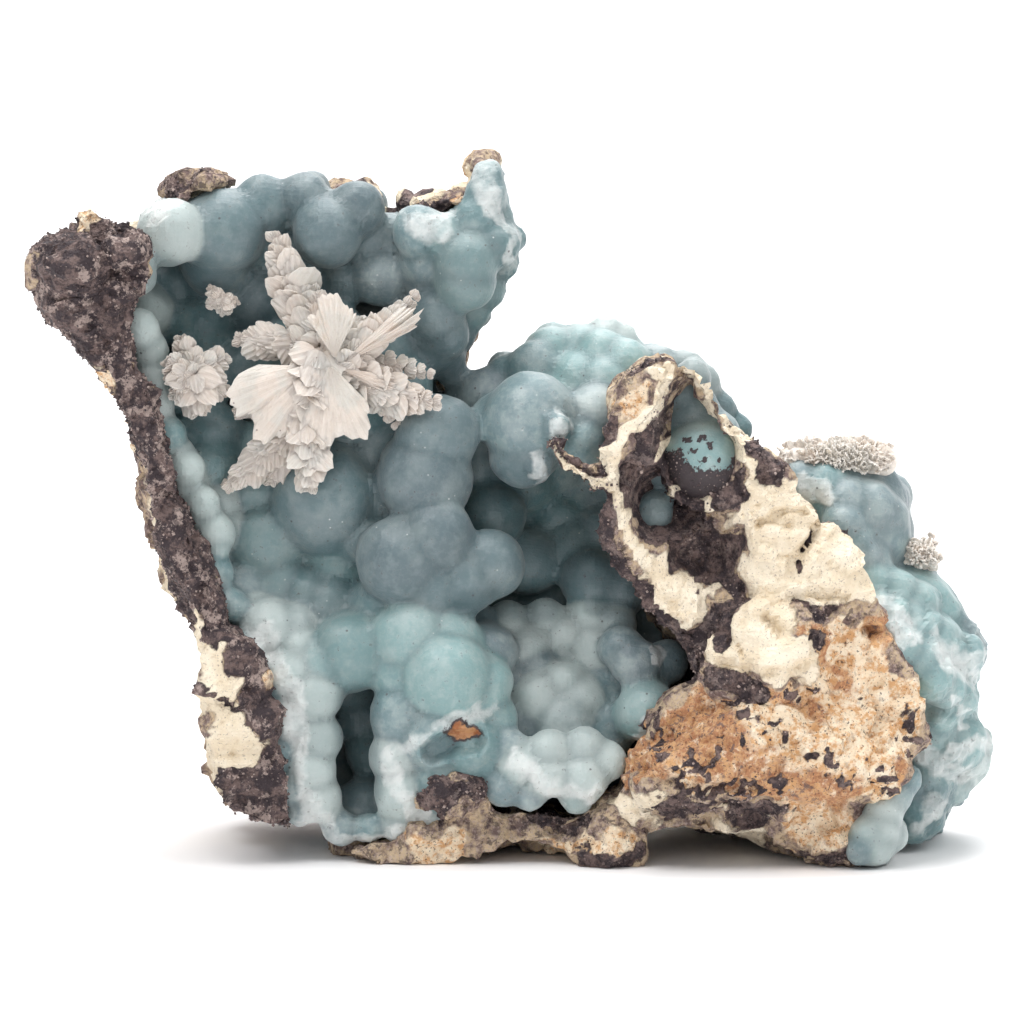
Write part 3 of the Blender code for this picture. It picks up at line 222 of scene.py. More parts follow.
RIGHT_GLOBES = [
    (36.4, 37.4, -2, 2.9), (35.4, 38.6, -2, 2.8), (33.3, 38.8, -3, 2.6), (30.8, 38.6, -5, 2.5),
    (28.4, 39, -5, 2.2), (33.2, 36.8, -6, 2.6), (36.4, 35.4, -4.5, 2.8), (35.4, 36.4, -5.5, 2.8),
    (32.8, 34.8, -8, 2.1), (34, 33, -8, 1.9), (34.8, 31.7, -8, 1.9), (35.9, 31, -7, 1.9),
    (38.3, 31.2, -2, 2.7), (39.5, 30, -1.5, 2.6), (35.8, 28.9, -8.5, 2), (38, 28, -8, 2.2),
    (40.2, 26.9, -7.5, 2.2), (40.2, 28.9, -2, 2.1), (41.6, 26.9, -2, 2.1), (42.9, 24.9, -2.5, 2.3),
    (44.4, 23.3, -3, 2.1), (45.6, 22.2, -2.5, 1.8), (40.1, 24.5, -9, 2.4), (42.7, 22.9, -8, 2.5),
    (44.4, 21.3, -6.5, 2.4), (37.9, 26, -11, 1.5), (36.6, 26.8, -11.2, 1.3), (37.6, 24, -11.6, 1.7),
    (38.8, 22.2, -11.6, 2.3), (40.5, 21.2, -11, 2.3), (41.5, 19.6, -10.5, 2.5), (43.2, 18.6, -9.5, 2),
    (44.3, 17.2, -7.5, 2.2), (43.2, 15.2, -7.5, 1.7), (43.8, 13.3, -4.5, 3.2), (44.8, 15.6, -1, 2.1),
    (46.2, 12.3, -2, 1.8), (45.9, 10.4, -3, 1.9), (41.6, 9, -4, 2.5), (44, 8.2, -3, 1.8),
    (40.3, 6.4, -4, 2.6), (40, 5, -4, 2.2), (41.4, 4.8, -3.5, 2), (40.8, 11.1, -4, 2.6),
    (41.6, 16, -6, 2.6), (44.4, 19.9, -2, 2.1), (35.2, 34, -3.4, 4.2), (39.6, 26, -4, 4.2),
    (41, 20.6, -5.6, 4.6), (42, 14, -4, 4.2), (40.4, 8.4, -3, 3.5), (31.6, 36.6, -3.6, 3.4),
]
FOOT_GLOBES = [
    (37, 5.6, -13.8, 1.9), (36.6, 3.6, -14.2, 2.1), (36.2, 2.2, -14.4, 2), (39.2, 9, -12.4, 1.7),
    (38.3, 7.4, -13, 1.8), (35.4, 3.6, -14.8, 1.7), (34.8, 2, -15, 1.6), (37.8, 3.2, -13.2, 1.7),
]
# How far back each group of globes runs, as knobbly fingers of the crust.
VUG_ROOT, HUMP_ROOT, POCKET_ROOT, RIGHT_ROOT, FOOT_ROOT = 8.0, 10.0, 0.0, 8.0, -6.0
# Small globes that cover the fingers where they show from above and from the side: how far apart they
# are, how far off the finger's middle in shares of its radius, their sizes, and how uneven their rows are.
SIDE_GLOBE_SPACING, SIDE_REACH, SIDE_SIZES, SIDE_JITTER = 2.6, 0.35, (0.66, 0.80), 0.8
# Where the front view's outline is made of globes: the left part's top, the hump's top and all of the right.
LEFT_TOP, LEFT_END, HUMP_TOP, HUMP_END = 62.0, -5.0, 47.0, 24.0
# The sheet of crust behind the globes of the hollow.
CRUST_BED = [
    (-36, 58), (-34, 65), (-28, 66.4), (-20, 66.6), (-12, 66), (-6, 65.4), (-4.5, 62), (-5.5, 56),
    (-8.5, 51.5), (-7.5, 46.5), (-2, 47.4), (4, 49.6), (10, 50.8), (14, 48), (14, 38), (15, 24), (14, 10),
    (6, 6.6), (-8, 6), (-20, 5.6), (-25, 10), (-28, 24), (-32, 38), (-34, 48),
]
BED_FRONT, BED_BACK, BED_NARROWING = 3.2, 8.0, 0.98

# Arms of pale crystal: root, tip (each x, height, depth), and width.
SPRAY_ARMS = [
    ((-20.5, 53.6, -6), (-24.4, 65, -5.6), 5), ((-19.4, 53, -7), (-20.2, 59, -6.6), 3.4),
    ((-18.6, 49.5, -8), (-15.2, 55.6, -6.8), 5.2), ((-18, 49.2, -8.6), (-8.6, 59, -8.6), 3.6),
    ((-16.5, 49, -7.6), (-6.4, 46.8, -11.6), 4.6), ((-15, 51.4, -7.2), (-7.4, 49.6, -9.8), 3),
    ((-15, 49.6, -8.4), (-11.4, 44.2, -8.4), 2.8), ((-19, 50.2, -8.6), (-16.6, 44.6, -8.8), 5),
    ((-19.6, 50, -9), (-23, 43.6, -8.6), 6.4), ((-21, 48.6, -8.4), (-28.4, 45.8, -6.8), 4.4),
    ((-21.6, 45, -8.4), (-29.6, 37.8, -6.6), 4.4), ((-22, 43.6, -8), (-24.6, 38.6, -6.4), 3.8),
    ((-20.6, 44.4, -9.6), (-20.6, 37.6, -10.6), 4.4), ((-21, 52.8, -6.8), (-28.4, 53.4, -5.6), 4),
    ((-19.6, 51.8, -8.2), (-20.8, 46.4, -9.8), 6.2),
]
ROSETTE_ARMS = [
    ((-32, 50, -6.6), (-33.4, 53.8, -6.2), 3.2), ((-32, 50, -6.6), (-28.4, 51.6, -5.6), 3.2),
    ((-32, 50, -6.8), (-28.6, 48, -5.8), 3.4), ((-32, 49.8, -7.2), (-31.6, 45.9, -7.2), 4.6),
    ((-32, 49.8, -7.2), (-34, 47.4, -7.4), 3.8), ((-32.4, 49.8, -7.4), (-35, 51.2, -8.4), 3.2),
]
BUTTON_ARMS = [
    ((-29.2, 57.2, -4.8), (-30.6, 58.6, -5), 1.7), ((-29.2, 57.2, -4.8), (-27.4, 57, -4.8), 1.5),
    ((-29.2, 57.2, -4.8), (-28.8, 55.9, -5), 1.8), ((-29.2, 57.2, -4.8), (-30.8, 56.8, -5), 1.7),
]
DRUSE_ARMS = [
    ((28.4, 41.4, -3.4), (26.9, 43, -3.6), 2.2), ((30.2, 41.4, -3.4), (29.8, 43.4, -3.8), 2.4),
    ((32.4, 41.4, -3.4), (32.2, 43.6, -3.6), 2.4), ((34.2, 41.4, -3.2), (35, 43.6, -3.4), 2.4),
    ((35.8, 41.4, -3), (37.6, 42.8, -3.2), 2.2), ((29.4, 41.4, -2.6), (29.2, 43.2, -1), 2.4),
    ((33.2, 41.4, -2.6), (33.6, 43.4, -1), 2.4), ((31.4, 41.4, -3.6), (33.4, 42.6, -5), 2.2),
]
TUFT_ARMS = [
    ((40, 31, -3.4), (39, 34, -3.6), 2.1), ((40.4, 31, -3.4), (41.8, 34, -3.4), 2.2),
    ((40.6, 30.8, -3.6), (42.8, 31.6, -4), 2), ((40.2, 30.8, -3.8), (40.2, 31.8, -5.6), 2.1),
]

# What colours the rock in the front view, in millimetres. A patch is an outline. A stroke is a path and
# half its width. Later colours lie over earlier ones: cream, rust, dark, and then the fine cream veins.
CREAM_PATCHES = [
    [
        (16.3, 51.6), (17.9, 51), (19, 49), (20.3, 46.6), (21.6, 44.8), (22.8, 43), (24.3, 40.8),
        (25, 39.2), (27.8, 39.6), (29.6, 38.6), (32.2, 36.8), (33.4, 35.2), (34.6, 33), (35.6, 30.8),
        (36.4, 29), (35.6, 28), (36.4, 27), (32, 26.6), (28.6, 27), (27.6, 24.6), (28.2, 23), (30.6, 22),
        (31.4, 20.8), (30.2, 19.8), (25, 19), (22.5, 19.4), (20, 20.4), (18.2, 22), (19.6, 23.4),
        (21.2, 23.6), (21.6, 25.8), (23.4, 27.4), (22.6, 28.6), (23.4, 31), (22.6, 33.4), (21, 35),
        (22.4, 36.4), (24.4, 37), (23.4, 39.4), (22, 41.4), (20.6, 43.4), (19.4, 45.6), (18.6, 47.6),
        (17.6, 49.6),
    ],
    [
        (12.7, 31.8), (14.8, 31.5), (16.9, 29.3), (18.6, 28.6), (21.1, 27.9), (19.3, 26.5), (19.3, 25.5),
        (17.2, 23.7), (15.5, 25.5), (13.7, 27.9),
    ],
    [(12, 49.5), (13, 50.6), (14.4, 51.4), (15, 51), (14.8, 49.5), (13.6, 49)],
    [(9.2, 7.4), (10.4, 8), (12.4, 8.2), (14.6, 7.6), (14.2, 5.6), (12.6, 4.6), (10.6, 5.2)],
    [
        (-32.8, 25.8), (-30.7, 23.5), (-29.2, 21.1), (-28.2, 19.4), (-28.1, 17), (-26.6, 14.1),
        (-24.8, 12.4), (-25.7, 11.2), (-27.5, 9.4), (-29.2, 9.4), (-30.4, 12.4), (-30.7, 15.9), (-31, 18.8),
        (-32.2, 21.7),
    ],
    [(19, 4.1), (22, 3.9), (25.2, 4.2), (24.4, 2.7), (20, 2.8)],
    [(26, 16.8), (30.6, 16), (33.4, 13), (30, 10.8), (26.6, 12.6), (24.4, 15.4)],
]
RUST_PATCHES = [
    [
        (18.3, 19.5), (20.4, 18), (24, 17.2), (26, 18.4), (30.4, 19.6), (31.4, 21), (28.4, 23.2), (28, 25),
        (31.8, 24.8), (34, 24), (36.4, 25), (37, 20.6), (38.6, 19.6), (40.4, 18.4), (41, 15), (40, 12.5),
        (38.8, 9.8), (38.4, 7.4), (35, 6.6), (33, 5.6), (28, 6.6), (22, 7), (17, 7.8), (15.8, 9.4),
        (10.6, 9), (10.6, 11.6), (13.5, 13), (15, 15.5), (17, 17.5),
    ],
    [(27.1, 6.5), (34.4, 6.5), (34.6, 2.4), (30, 1.6), (27.4, 3)],
    [(-10.6, 3.8), (-5, 4), (-4.6, 0.6), (-10.6, 0.6)],
    [(0.6, 2.6), (7, 3.4), (12.6, 4.4), (12, 2.4), (5, 1.4)],
    [(-27.8, 20.3), (-24.4, 20), (-24, 17), (-27.4, 17.2)],
    [(-37.6, 37.6), (-36, 37), (-35.2, 33), (-36.6, 33.4)],
    [(-17.6, 70.6), (-12.5, 68.2), (-13, 66.6), (-17.8, 68.6)],
    [(-8.7, 67.6), (-4.2, 69.8), (-4, 68), (-7.4, 65.4)],
    [(-42.6, 50.6), (-41, 50.8), (-39.8, 48.2), (-41.4, 48.2)],
    [(10.2, 47.8), (13, 48.8), (13.6, 47.2), (11.6, 45.2), (10.2, 45.4)],
    [(-44.6, 67.4), (-42, 67.6), (-41.4, 65.8), (-43.4, 64.6)],
]
DARK_PATCHES = [
    [
        (10, 39.2), (10.9, 40.6), (11.6, 44.1), (13, 45.7), (14.4, 47.2), (14.8, 48.6), (15.3, 50),
        (16, 49.7), (15.7, 46.5), (15.3, 44.8), (15.1, 42.7), (15.8, 40.9), (17.2, 40.2), (18.3, 39.2),
        (20.7, 39.9), (22.1, 40.2), (23.9, 37.8), (24.1, 36.8), (19.3, 36.2), (20.7, 34.1), (22.7, 32.5),
        (22.9, 30.7), (22.1, 29), (20.7, 28.1), (17.9, 29), (16.5, 30), (14.4, 32.2), (12.3, 33.2),
        (11.3, 35.7), (10.4, 37.8),
    ],
    [
        (21, 46.5), (22.5, 45), (24.6, 43), (26.1, 41), (27.1, 39.5), (26.8, 38.6), (25, 38.8),
        (24.4, 40.4), (23.2, 42.4), (21.8, 44.6),
    ],
    [
        (-49.5, 63), (-47, 60), (-47.6, 57), (-45, 53.6), (-42.8, 51.2), (-40, 49.4), (-38.9, 46),
        (-38.8, 41), (-37.6, 37.4), (-36.8, 32), (-35, 30.6), (-34.4, 26.6), (-32.6, 25.6), (-31, 23.8),
        (-29.2, 21.4), (-28, 19.4), (-27.6, 16.4), (-26.4, 14), (-24.6, 12.4), (-25.8, 10.8), (-29.4, 9.6),
        (-29.6, 5.8), (-28, 3.6), (-20, 2.8), (-21.2, 6), (-22.4, 9.6), (-23, 14), (-24.4, 18.4),
        (-26.4, 22.2), (-29.4, 29), (-30, 33), (-33, 41), (-35, 47), (-37, 53), (-37.4, 58), (-36.6, 63),
        (-37.2, 66.6), (-40.4, 66), (-41.8, 65.4), (-43.6, 64.2), (-45, 64.4),
    ],
    [(-36.8, 68.6), (-34, 69.8), (-31, 71), (-29, 69.8), (-32, 68.4), (-35, 67)],
    [(-13.5, 67.8), (-10, 68), (-6.4, 67.6), (-4.9, 65.4), (-8, 64.8), (-12, 65.8)],
    [
        (-9.8, 8.1), (-8.1, 9.5), (-5.6, 9), (-4.4, 9.8), (-2.8, 9.5), (-0.4, 8.3), (-1.1, 6.8),
        (-4.4, 7.1), (-5.3, 6.5), (-5.6, 5.6), (-7.5, 4.7), (-9.4, 6),
    ],
    [(0.9, 6.2), (4, 6.4), (7.8, 5.2), (7, 3.8), (2, 4)],
    [(6, 2.2), (9, 2.2), (12.8, 2.6), (11.6, 0.4), (7, 0.4)],
    [(13.6, 7.4), (18.3, 6.2), (25.3, 6), (27.6, 5.4), (25, 4.4), (18.4, 4.4), (15, 5.6)],
    [(27.4, 2), (30.2, 1.4), (33.3, 1.2), (35.4, 1.8), (36.4, 0.2), (30, -0.4)],
    [(28.8, 26.9), (31.2, 26.9), (31.6, 25.2), (29.4, 25)],
    [(29.2, 24.2), (30.8, 24), (31.2, 22.4), (29.6, 22)],
]
DARK_STROKES = [
    ([(14.2, 51.8), (16.2, 51.8)], 0.7), ([(11.6, 49.8), (12.8, 51.2), (14.1, 51.8)], 0.35),
    ([(3, 44.1), (3.9, 43), (5, 42), (6.4, 41.1), (7.8, 39.9), (9, 39.7)], 0.4),
    ([(2.9, 40.4), (4.6, 39.2), (6.4, 38.1), (8.1, 37.9)], 0.75), ([(3, 43), (3.2, 41.2)], 0.6),
    ([(8.8, 39.6), (9.2, 41.3), (9.5, 43), (9.8, 45.1)], 0.35),
    ([
        (9.2, 37.8), (9.6, 36.4), (9.3, 34.3), (9, 33.2), (10.2, 31.8), (11.3, 30), (12.7, 28.3),
        (14.1, 25.8), (15.5, 24.4), (16.9, 23), (17.9, 22.3), (18, 20.6),
    ], 0.65),
    ([(8.2, 38), (8, 34.4), (9.4, 30.8), (11.6, 27.2), (14.2, 24), (16.2, 22.2), (16.8, 20)], 1.3),
    ([(17.2, 23), (19, 24.1), (20, 26.2), (21.4, 27.2), (23.2, 27.8)], 0.7),
    ([(20.2, 25.4), (20.6, 22.9)], 0.9), ([(20, 19.5), (22.1, 18.8), (24.4, 17.8)], 1),
    # The first stroke below is painted shadow along a crack in the cream rock.
    ([(30.6, 35.4), (30, 33.2), (28.6, 31.4), (28, 30)], 0.22), ([(32.4, 35.8), (33.2, 34.6)], 0.6),
    ([(34, 33.2), (35.2, 30.4)], 0.6), ([(-31.6, 20), (-29.8, 17.6), (-28.1, 16.2)], 0.4),
]
# Loose clusters of dark grains on the rusty rock.
FLECK_STROKES = [
    ([(15.8, 8.2), (16.8, 9.6), (15.2, 12.2)], 1), ([(17.6, 10.4), (20.8, 8.6)], 1.7),
    ([(20.2, 12.4), (20.8, 10.8)], 1), ([(39.2, 15.2), (40.2, 12)], 1.3), ([(23.4, 13.4), (25.8, 14.4)], 1),
    ([(35.2, 17.6), (34.2, 16.6)], 0.8), ([(12.8, 16.4), (14.6, 14)], 1.3), ([(31, 11), (33, 9.2)], 1),
    ([(22.2, 16.6), (23.6, 14.4)], 0.8), ([(17.4, 6.8), (26, 8.2)], 1.2),
    ([(26.4, 18.6), (30.2, 17.8)], 0.8), ([(35.6, 10.6), (37.2, 8.2)], 0.9),
]
VEIN_STROKES = [
    ([(15, 50.4), (14.6, 48), (13.9, 46.4), (12.6, 45), (10.9, 44.4), (10.2, 42), (9.8, 40)], 0.6),
    ([(9.8, 40), (10, 38.4), (10.8, 35.8), (11.8, 33), (13, 31)], 0.62),
    ([(4.1, 42.9), (4.6, 40.9), (6, 39.5), (7.8, 38.8), (9.8, 38.8)], 0.6),
    ([(15.6, 43.6), (14.2, 41.4)], 0.35), ([(16.4, 38.6), (15, 37.4)], 0.3),
    ([(18.8, 37.6), (19.6, 36.2)], 0.4),
]
ORANGE_STROKES = [
    ([(11, 10.2), (15, 12.2), (18, 15.6), (20, 17)], 2.6), ([(19, 13), (23, 10)], 3.2),
    ([(24.4, 18.2), (28, 17), (31, 15.2)], 0.9), ([(30.4, 24.6), (31.6, 21.4), (33, 18.4)], 0.8),
    ([(36, 24.6), (37, 22.4)], 0.8), ([(24, 8.4), (33, 7.4)], 2), ([(37.4, 11), (38.6, 9)], 0.8),
    ([(-26.4, 19.6), (-25, 17.6)], 1.2), ([(-16.6, 69.6), (-13.6, 68)], 1.2),
    ([(-8, 67.2), (-4.8, 69.2)], 1.2), ([(28, 24.8), (28.4, 22.8)], 0.7),
]
# Cracks and steps in the cream rock.
CRACK_STROKES = [
    ([(31.4, 36.2), (30.4, 33.6), (28.6, 31.6), (27.4, 30.2)], 0.55),
    ([(20.6, 20.8), (24, 19.8), (29.6, 20.6)], 0.5),
    ([(22.8, 28.8), (26, 27.4), (29.4, 27.8), (33, 27)], 0.5), ([(12.8, 9.8), (18, 8.6), (24, 8)], 0.6),
    ([(24.4, 34.6), (26.6, 36.4), (29, 36.2)], 0.4), ([(26.6, 23.6), (25.4, 25.4)], 0.4),
]
# What colours the crust, in the same way: where it is broken white, and where a globe is of another tone.
WHITE_PATCHES = [
    [
        (-27.8, 24.9), (-24.4, 25.3), (-23.4, 22), (-21.2, 19.4), (-20.6, 14), (-20.2, 8.4), (-18.2, 5.6),
        (-17.5, 3.7), (-19.1, 2.1), (-22.2, 2.4), (-22.2, 8.4), (-23.8, 13.7), (-24.1, 17.4), (-26.6, 21.8),
    ],
    [
        (-6.3, 16.3), (-1.9, 16.8), (-1.3, 16.2), (-2.5, 15.1), (-5, 14.1), (-8.1, 13.5), (-9.1, 12.2),
        (-10.6, 11.2), (-13.1, 12.4), (-9.4, 13.9),
    ],
    [(-1.2, 12.2), (2, 11.4), (5, 8.6), (9, 8.4), (8.6, 5.6), (3.6, 6.8), (1, 8.2), (-2, 10.4)],
    [(-11.6, 66.7), (-5.8, 66.7), (-5.8, 63.4), (-8.6, 62), (-11.4, 64)],
    [(-37.4, 68.6), (-33.6, 67.6), (-34.4, 64.8), (-37, 64.4)],
]
WHITE_STROKES = [
    ([(-20.8, 3), (-14, 2.8), (-9, 4.2)], 0.9), ([(-3.6, 71.4), (-2.4, 67)], 1.6),
    ([(-2.6, 66), (0.2, 63.8), (-0.8, 60.4)], 0.8), ([(4.2, 45), (4.4, 43.6)], 1.3),
    ([(2, 41.8), (2.4, 39.8)], 1.1), ([(35.6, 27), (38, 26), (39.4, 24.4)], 1),
    ([(36.4, 24.8), (38.6, 22.6)], 0.9), ([(42, 23.6), (44.6, 20.6)], 1),
    ([(-12.6, 11.4), (-12, 8), (-9.6, 5.6)], 1.1), ([(13.6, 22.4), (14.4, 21.2)], 0.6),
    ([(45.6, 20.4), (47, 21.6)], 0.7), ([(28.6, 39), (31, 37.6)], 1.3), ([(13.2, 14.2), (12, 11.4)], 0.8),
    ([(44.6, 12), (46.6, 12.6)], 1.1), ([(44, 16.8), (45.6, 15)], 0.7), ([(36.4, 26.8), (39.8, 23.6)], 1.5),
    ([(42.8, 22.2), (45.6, 19.6)], 1.5), ([(40.6, 11.8), (45.4, 9.2)], 1.4),
    ([(42.4, 6.8), (40.8, 4.6)], 1.2),
]
# A small hollow broken into the lower globes.
CAVITY_STROKES = [([(-8.2, 11.8), (-6.4, 12.6), (-4.2, 12.9)], 1.1)]
PALE_TONES = [
    ([(-34.6, 65.6), (-34.2, 63)], 2.6), ([(-37.8, 60.6), (-36.2, 53), (-34.8, 46)], 2),
    ([(-26, 24.6), (-22.4, 21.6), (-20.4, 16), (-19.6, 8)], 2.6), ([(-32.6, 40.6), (-29.4, 34)], 2),
    ([(2, 10.6), (8, 9.4)], 3), ([(-0.8, 24.4), (8, 24.2), (4, 17)], 2.6), ([(-12, 11), (-10, 6)], 2.4),
    ([(15.8, 50.6), (21, 48.6), (23, 46.4)], 1.8), ([(7.4, 54.4), (11, 53.6)], 1.8),
    ([(36.6, 6.4), (37.6, 0.8)], 2), ([(44.6, 9.6), (46.4, 12.4)], 1.6), ([(9, 42), (9.6, 46.6)], 1.6),
]
AQUA_TONES = [
    ([(-10.6, 23), (-6, 19), (-4, 16)], 3.4), ([(-5, 62.4), (-4.6, 57.2)], 2.6),
    ([(12.6, 17.6), (13.8, 14.6)], 2.6), ([(35.6, 27.6), (39.6, 23.6), (43, 17.6), (42.6, 12)], 3.2),
    ([(-25.4, 31), (-20, 31.6)], 3), ([(18.6, 41.2), (20.6, 40.2)], 2.4), ([(-22.6, 50.6), (-18.6, 44)], 3),
    ([(-26.4, 42.6), (-27, 40.6)], 2.6), ([(5, 50.6), (9.6, 51)], 2.6), ([(-18, 21.4), (-15.4, 20.4)], 2),
]
GREY_TONES = [
    ([(-20.6, 67), (-16, 63.6), (-13, 59.4), (-9, 55)], 4.4),
    ([(-8.6, 43.6), (-9.6, 38.6), (-11, 31.4)], 4), ([(-7.6, 33), (-2.4, 31)], 3.2),
    ([(-22.8, 60.6), (-26, 57.6)], 2.6), ([(16.6, 48.6), (17.4, 44)], 2.4), ([(12, 23.4), (13.8, 21)], 2.4),
    ([(43, 27.6), (45.6, 23)], 2.2), ([(35, 39.6), (38.6, 35)], 2.6), ([(1, 19), (4, 15.4)], 3),
    ([(-6.6, 52), (-4, 50)], 3), ([(10.4, 29.8), (13.4, 28.6)], 2.6),
]
# Painted shade on the crust: dark teal where globes lie in shade, under a ledge and in gaps.
SHADE_STROKES = [
    ([(1, 38), (3.6, 34.4), (6, 31.6)], 4.2), ([(-4.6, 26.6), (3, 26.4)], 1.6),
    ([(-15.8, 16.6), (-15.4, 8)], 2.2), ([(-36, 60), (-32, 58.4)], 2), ([(-8.4, 11.4), (-6.4, 12.6)], 1),
    ([(8, 26.6), (12, 25.6)], 1.2), ([(-26, 55.6), (-30.6, 55)], 1.6),
]
STAIN_STROKES = [
    ([(15.4, 41), (16.8, 39.4)], 1.2), ([(17, 38.4), (20.4, 38.3), (23.4, 39)], 1.9),
    ([(22.4, 40.8), (23, 39.6)], 0.9), ([(17, 43.3), (17.2, 43.2)], 0.36),
    ([(18.5, 43.5), (18.7, 43.4)], 0.36), ([(17.6, 42.1), (17.8, 42)], 0.34),
    ([(19.4, 42.6), (19.5, 42.4)], 0.36), ([(18.9, 41.3), (19.1, 41.2)], 0.34),
    ([(16.2, 42), (16.3, 41.9)], 0.3), ([(20.4, 41.3), (20.5, 41.2)], 0.3),
]
RUST_SPOTS = [([(-5.8, 13.9), (-4.3, 13.5)], 0.95)]
# The globes left out of the painted shade of the hollow, which darkens all other globes: the low beads, the
# hump and the rim. All on the far right are left out too.
UNSHADED_GLOBES = [
    ([(-1, 11.6), (3, 9), (9, 9.8)], 3.6), ([(-3, 47.6), (3, 50.6), (11, 51.6)], 4),
    ([(1.5, 45.6), (1, 42)], 3.2), ([(8, 46.4), (6.8, 43)], 2.6), ([(-35, 64), (-34, 63)], 2.6),
    ([(-37.8, 60.6), (-36.4, 52), (-34.6, 43.6), (-31, 35), (-28, 27), (-24, 18), (-21, 8)], 2.4),
    ([(-9, 65), (-2.6, 68.4)], 2.6), ([(-8, 5.4), (-20, 4.4)], 1.8), ([(12, 21.4), (13.4, 16)], 2.4),
    ([(-1, 24.4), (9, 24)], 3), ([(1.6, 20.6), (6.4, 16)], 4), ([(-11.6, 22.4), (-4.6, 19.8)], 4),
    ([(-12, 15), (-9, 9)], 3.6), ([(18, 42.6), (19.6, 41.2)], 2.2), ([(-12.6, 60.4), (-8.6, 61.4)], 2.8),
    ([(-24.6, 24.4), (-19.6, 20)], 3),
]


def placed(x, height, depth):
    """The world point in millimetres that the front view shows at x and height, at that depth."""
    nearness = 1 + depth / EYE_DISTANCE
    z = EYE_HEIGHT + (height - EYE_HEIGHT) * nearness - depth * SIGHT_FALL - SHELF_HEIGHT
    return np.array((x * nearness - CENTRE_X, depth - CENTRE_Y, z))


def seen(points):
    """Where the front view shows world points in millimetres: their x, height and depth."""
    depth = points[:, 1] + CENTRE_Y
    nearness = 1 + depth / EYE_DISTANCE
    x = (points[:, 0] + CENTRE_X) / nearness
    height = EYE_HEIGHT + (points[:, 2] + SHELF_HEIGHT + depth * SIGHT_FALL - EYE_HEIGHT) / nearness
    return x, height, depth


def smooth_step(value):
    value = np.clip(value, 0, 1)
    return value * value * (3 - 2 * value)


def unit_ball():
    """The corners and faces of a ball of radius 1."""
    shape = bmesh.new()
    bmesh.ops.create_icosphere(shape, subdivisions=3, radius=1)
    corners = np.array([vertex.co for vertex in shape.verts])
    faces = [[vertex.index for vertex in face.verts] for face in shape.faces]
    shape.free()
    return corners, faces


BALL = unit_ball()


class Clay:
    """Points in millimetres and faces, gathered from simple closed forms, with values for each point."""

    def __init__(self):
        self.points = []
        self.faces = []
        self.count = 0
        self.values = {}

    def add(self, points, faces, **values):
        self.points.append(np.asarray(points, dtype=float))
        self.faces.extend([corner + self.count for corner in face] for face in faces)
        self.count += len(points)
        for name, value in values.items():
            self.values.setdefault(name, []).append(np.broadcast_to(value, len(points)))

    def slab(self, outline, front, back, narrowing):
        """A prism between two depths, whose back outline is drawn in towards its middle."""
        middle = np.mean(outline, axis=0)
        inner = [middle + (np.array(point) - middle) * narrowing for point in outline]
        near = [placed(x, h, front) for x, h in outline]
        far = [placed(x, h, back) for x, h in inner]
        count = len(outline)
        faces = [list(range(count)), [count + i for i in reversed(range(count))]]
        for i in range(count):
            j = (i + 1) % count
            faces.append([j, i, count + i, count + j])
        self.add(near + far, faces)

    def lump(self, place, half_sizes):
        """An ellipsoid."""
        self.add(placed(*place) + BALL[0] * half_sizes, BALL[1])

    def globe(self, place, radius, chance):
        """A ball that is a little uneven, as grown globes are."""
        stretch = [1 + chance.uniform(-GLOBE_STRETCH, GLOBE_STRETCH) for _ in range(3)]
        swing = np.array([chance.gauss(0, GLOBE_SWING) for _ in range(3)])
        sway = 1 + GLOBE_SWAY * np.sin(BALL[0] @ swing * 2 + chance.uniform(0, math.tau))
        self.add(placed(*place) + BALL[0] * radius * stretch * sway[:, None], BALL[1])

    def finger(self, start, end, start_radius, end_radius):
        """A round-ended finger between two world points."""
        ahead = BALL[0] @ (end - start) > 0
        points = np.where(ahead[:, None], end + BALL[0] * end_radius, start + BALL[0] * start_radius)
        self.add(points, BALL[1])

    def object(self, name):
        """The gathered forms as one new object in the scene."""
        mesh = bpy.data.meshes.new(name)
        mesh.from_pydata(np.vstack(self.points) * MM, [], self.faces)
        for key, value in self.values.items():
            keep(mesh, key, np.concatenate(value))
        made = bpy.data.objects.new(name, mesh)
        bpy.context.scene.collection.objects.link(made)
        return made


def keep(mesh, name, values):
    """Stores one number for each point of a mesh."""
    layer = mesh.attributes.new(name, "FLOAT", "POINT")
    layer.data.foreach_set("value", np.asarray(values, dtype=np.float32))


def points_of(mesh):
    """The points of a mesh in millimetres, and their normals."""
    points = np.empty(len(mesh.vertices) * 3, dtype=np.float32)
    mesh.vertices.foreach_get("co", points)
    normals = np.empty(len(mesh.vertices) * 3, dtype=np.float32)
    mesh.vertex_normals.foreach_get("vector", normals)
    return points.reshape(-1, 3).astype(float) / MM, normals.reshape(-1, 3).astype(float)


def move_points(mesh, points):
    mesh.vertices.foreach_set("co", (points * MM).astype(np.float32).ravel())
    mesh.update()


def settle(thing):
    """Applies an object's modifiers to its mesh."""
    graph = bpy.context.evaluated_depsgraph_get()
    graph.update()
    mesh = bpy.data.meshes.new_from_object(thing.evaluated_get(graph))
    thing.modifiers.clear()
    thing.data = mesh


def grown(name, clay, voxel, smoothing):
    """One closed skin round all the forms that overlap."""
    made = clay.object(name)
    skin = made.modifiers.new("Skin", "REMESH")
    skin.mode = "VOXEL"
    skin.voxel_size = voxel * MM
    softer = made.modifiers.new("Softer", "SMOOTH")
    softer.factor = 0.5
    softer.iterations = smoothing
    settle(made)
    keep_largest(made)
    return made


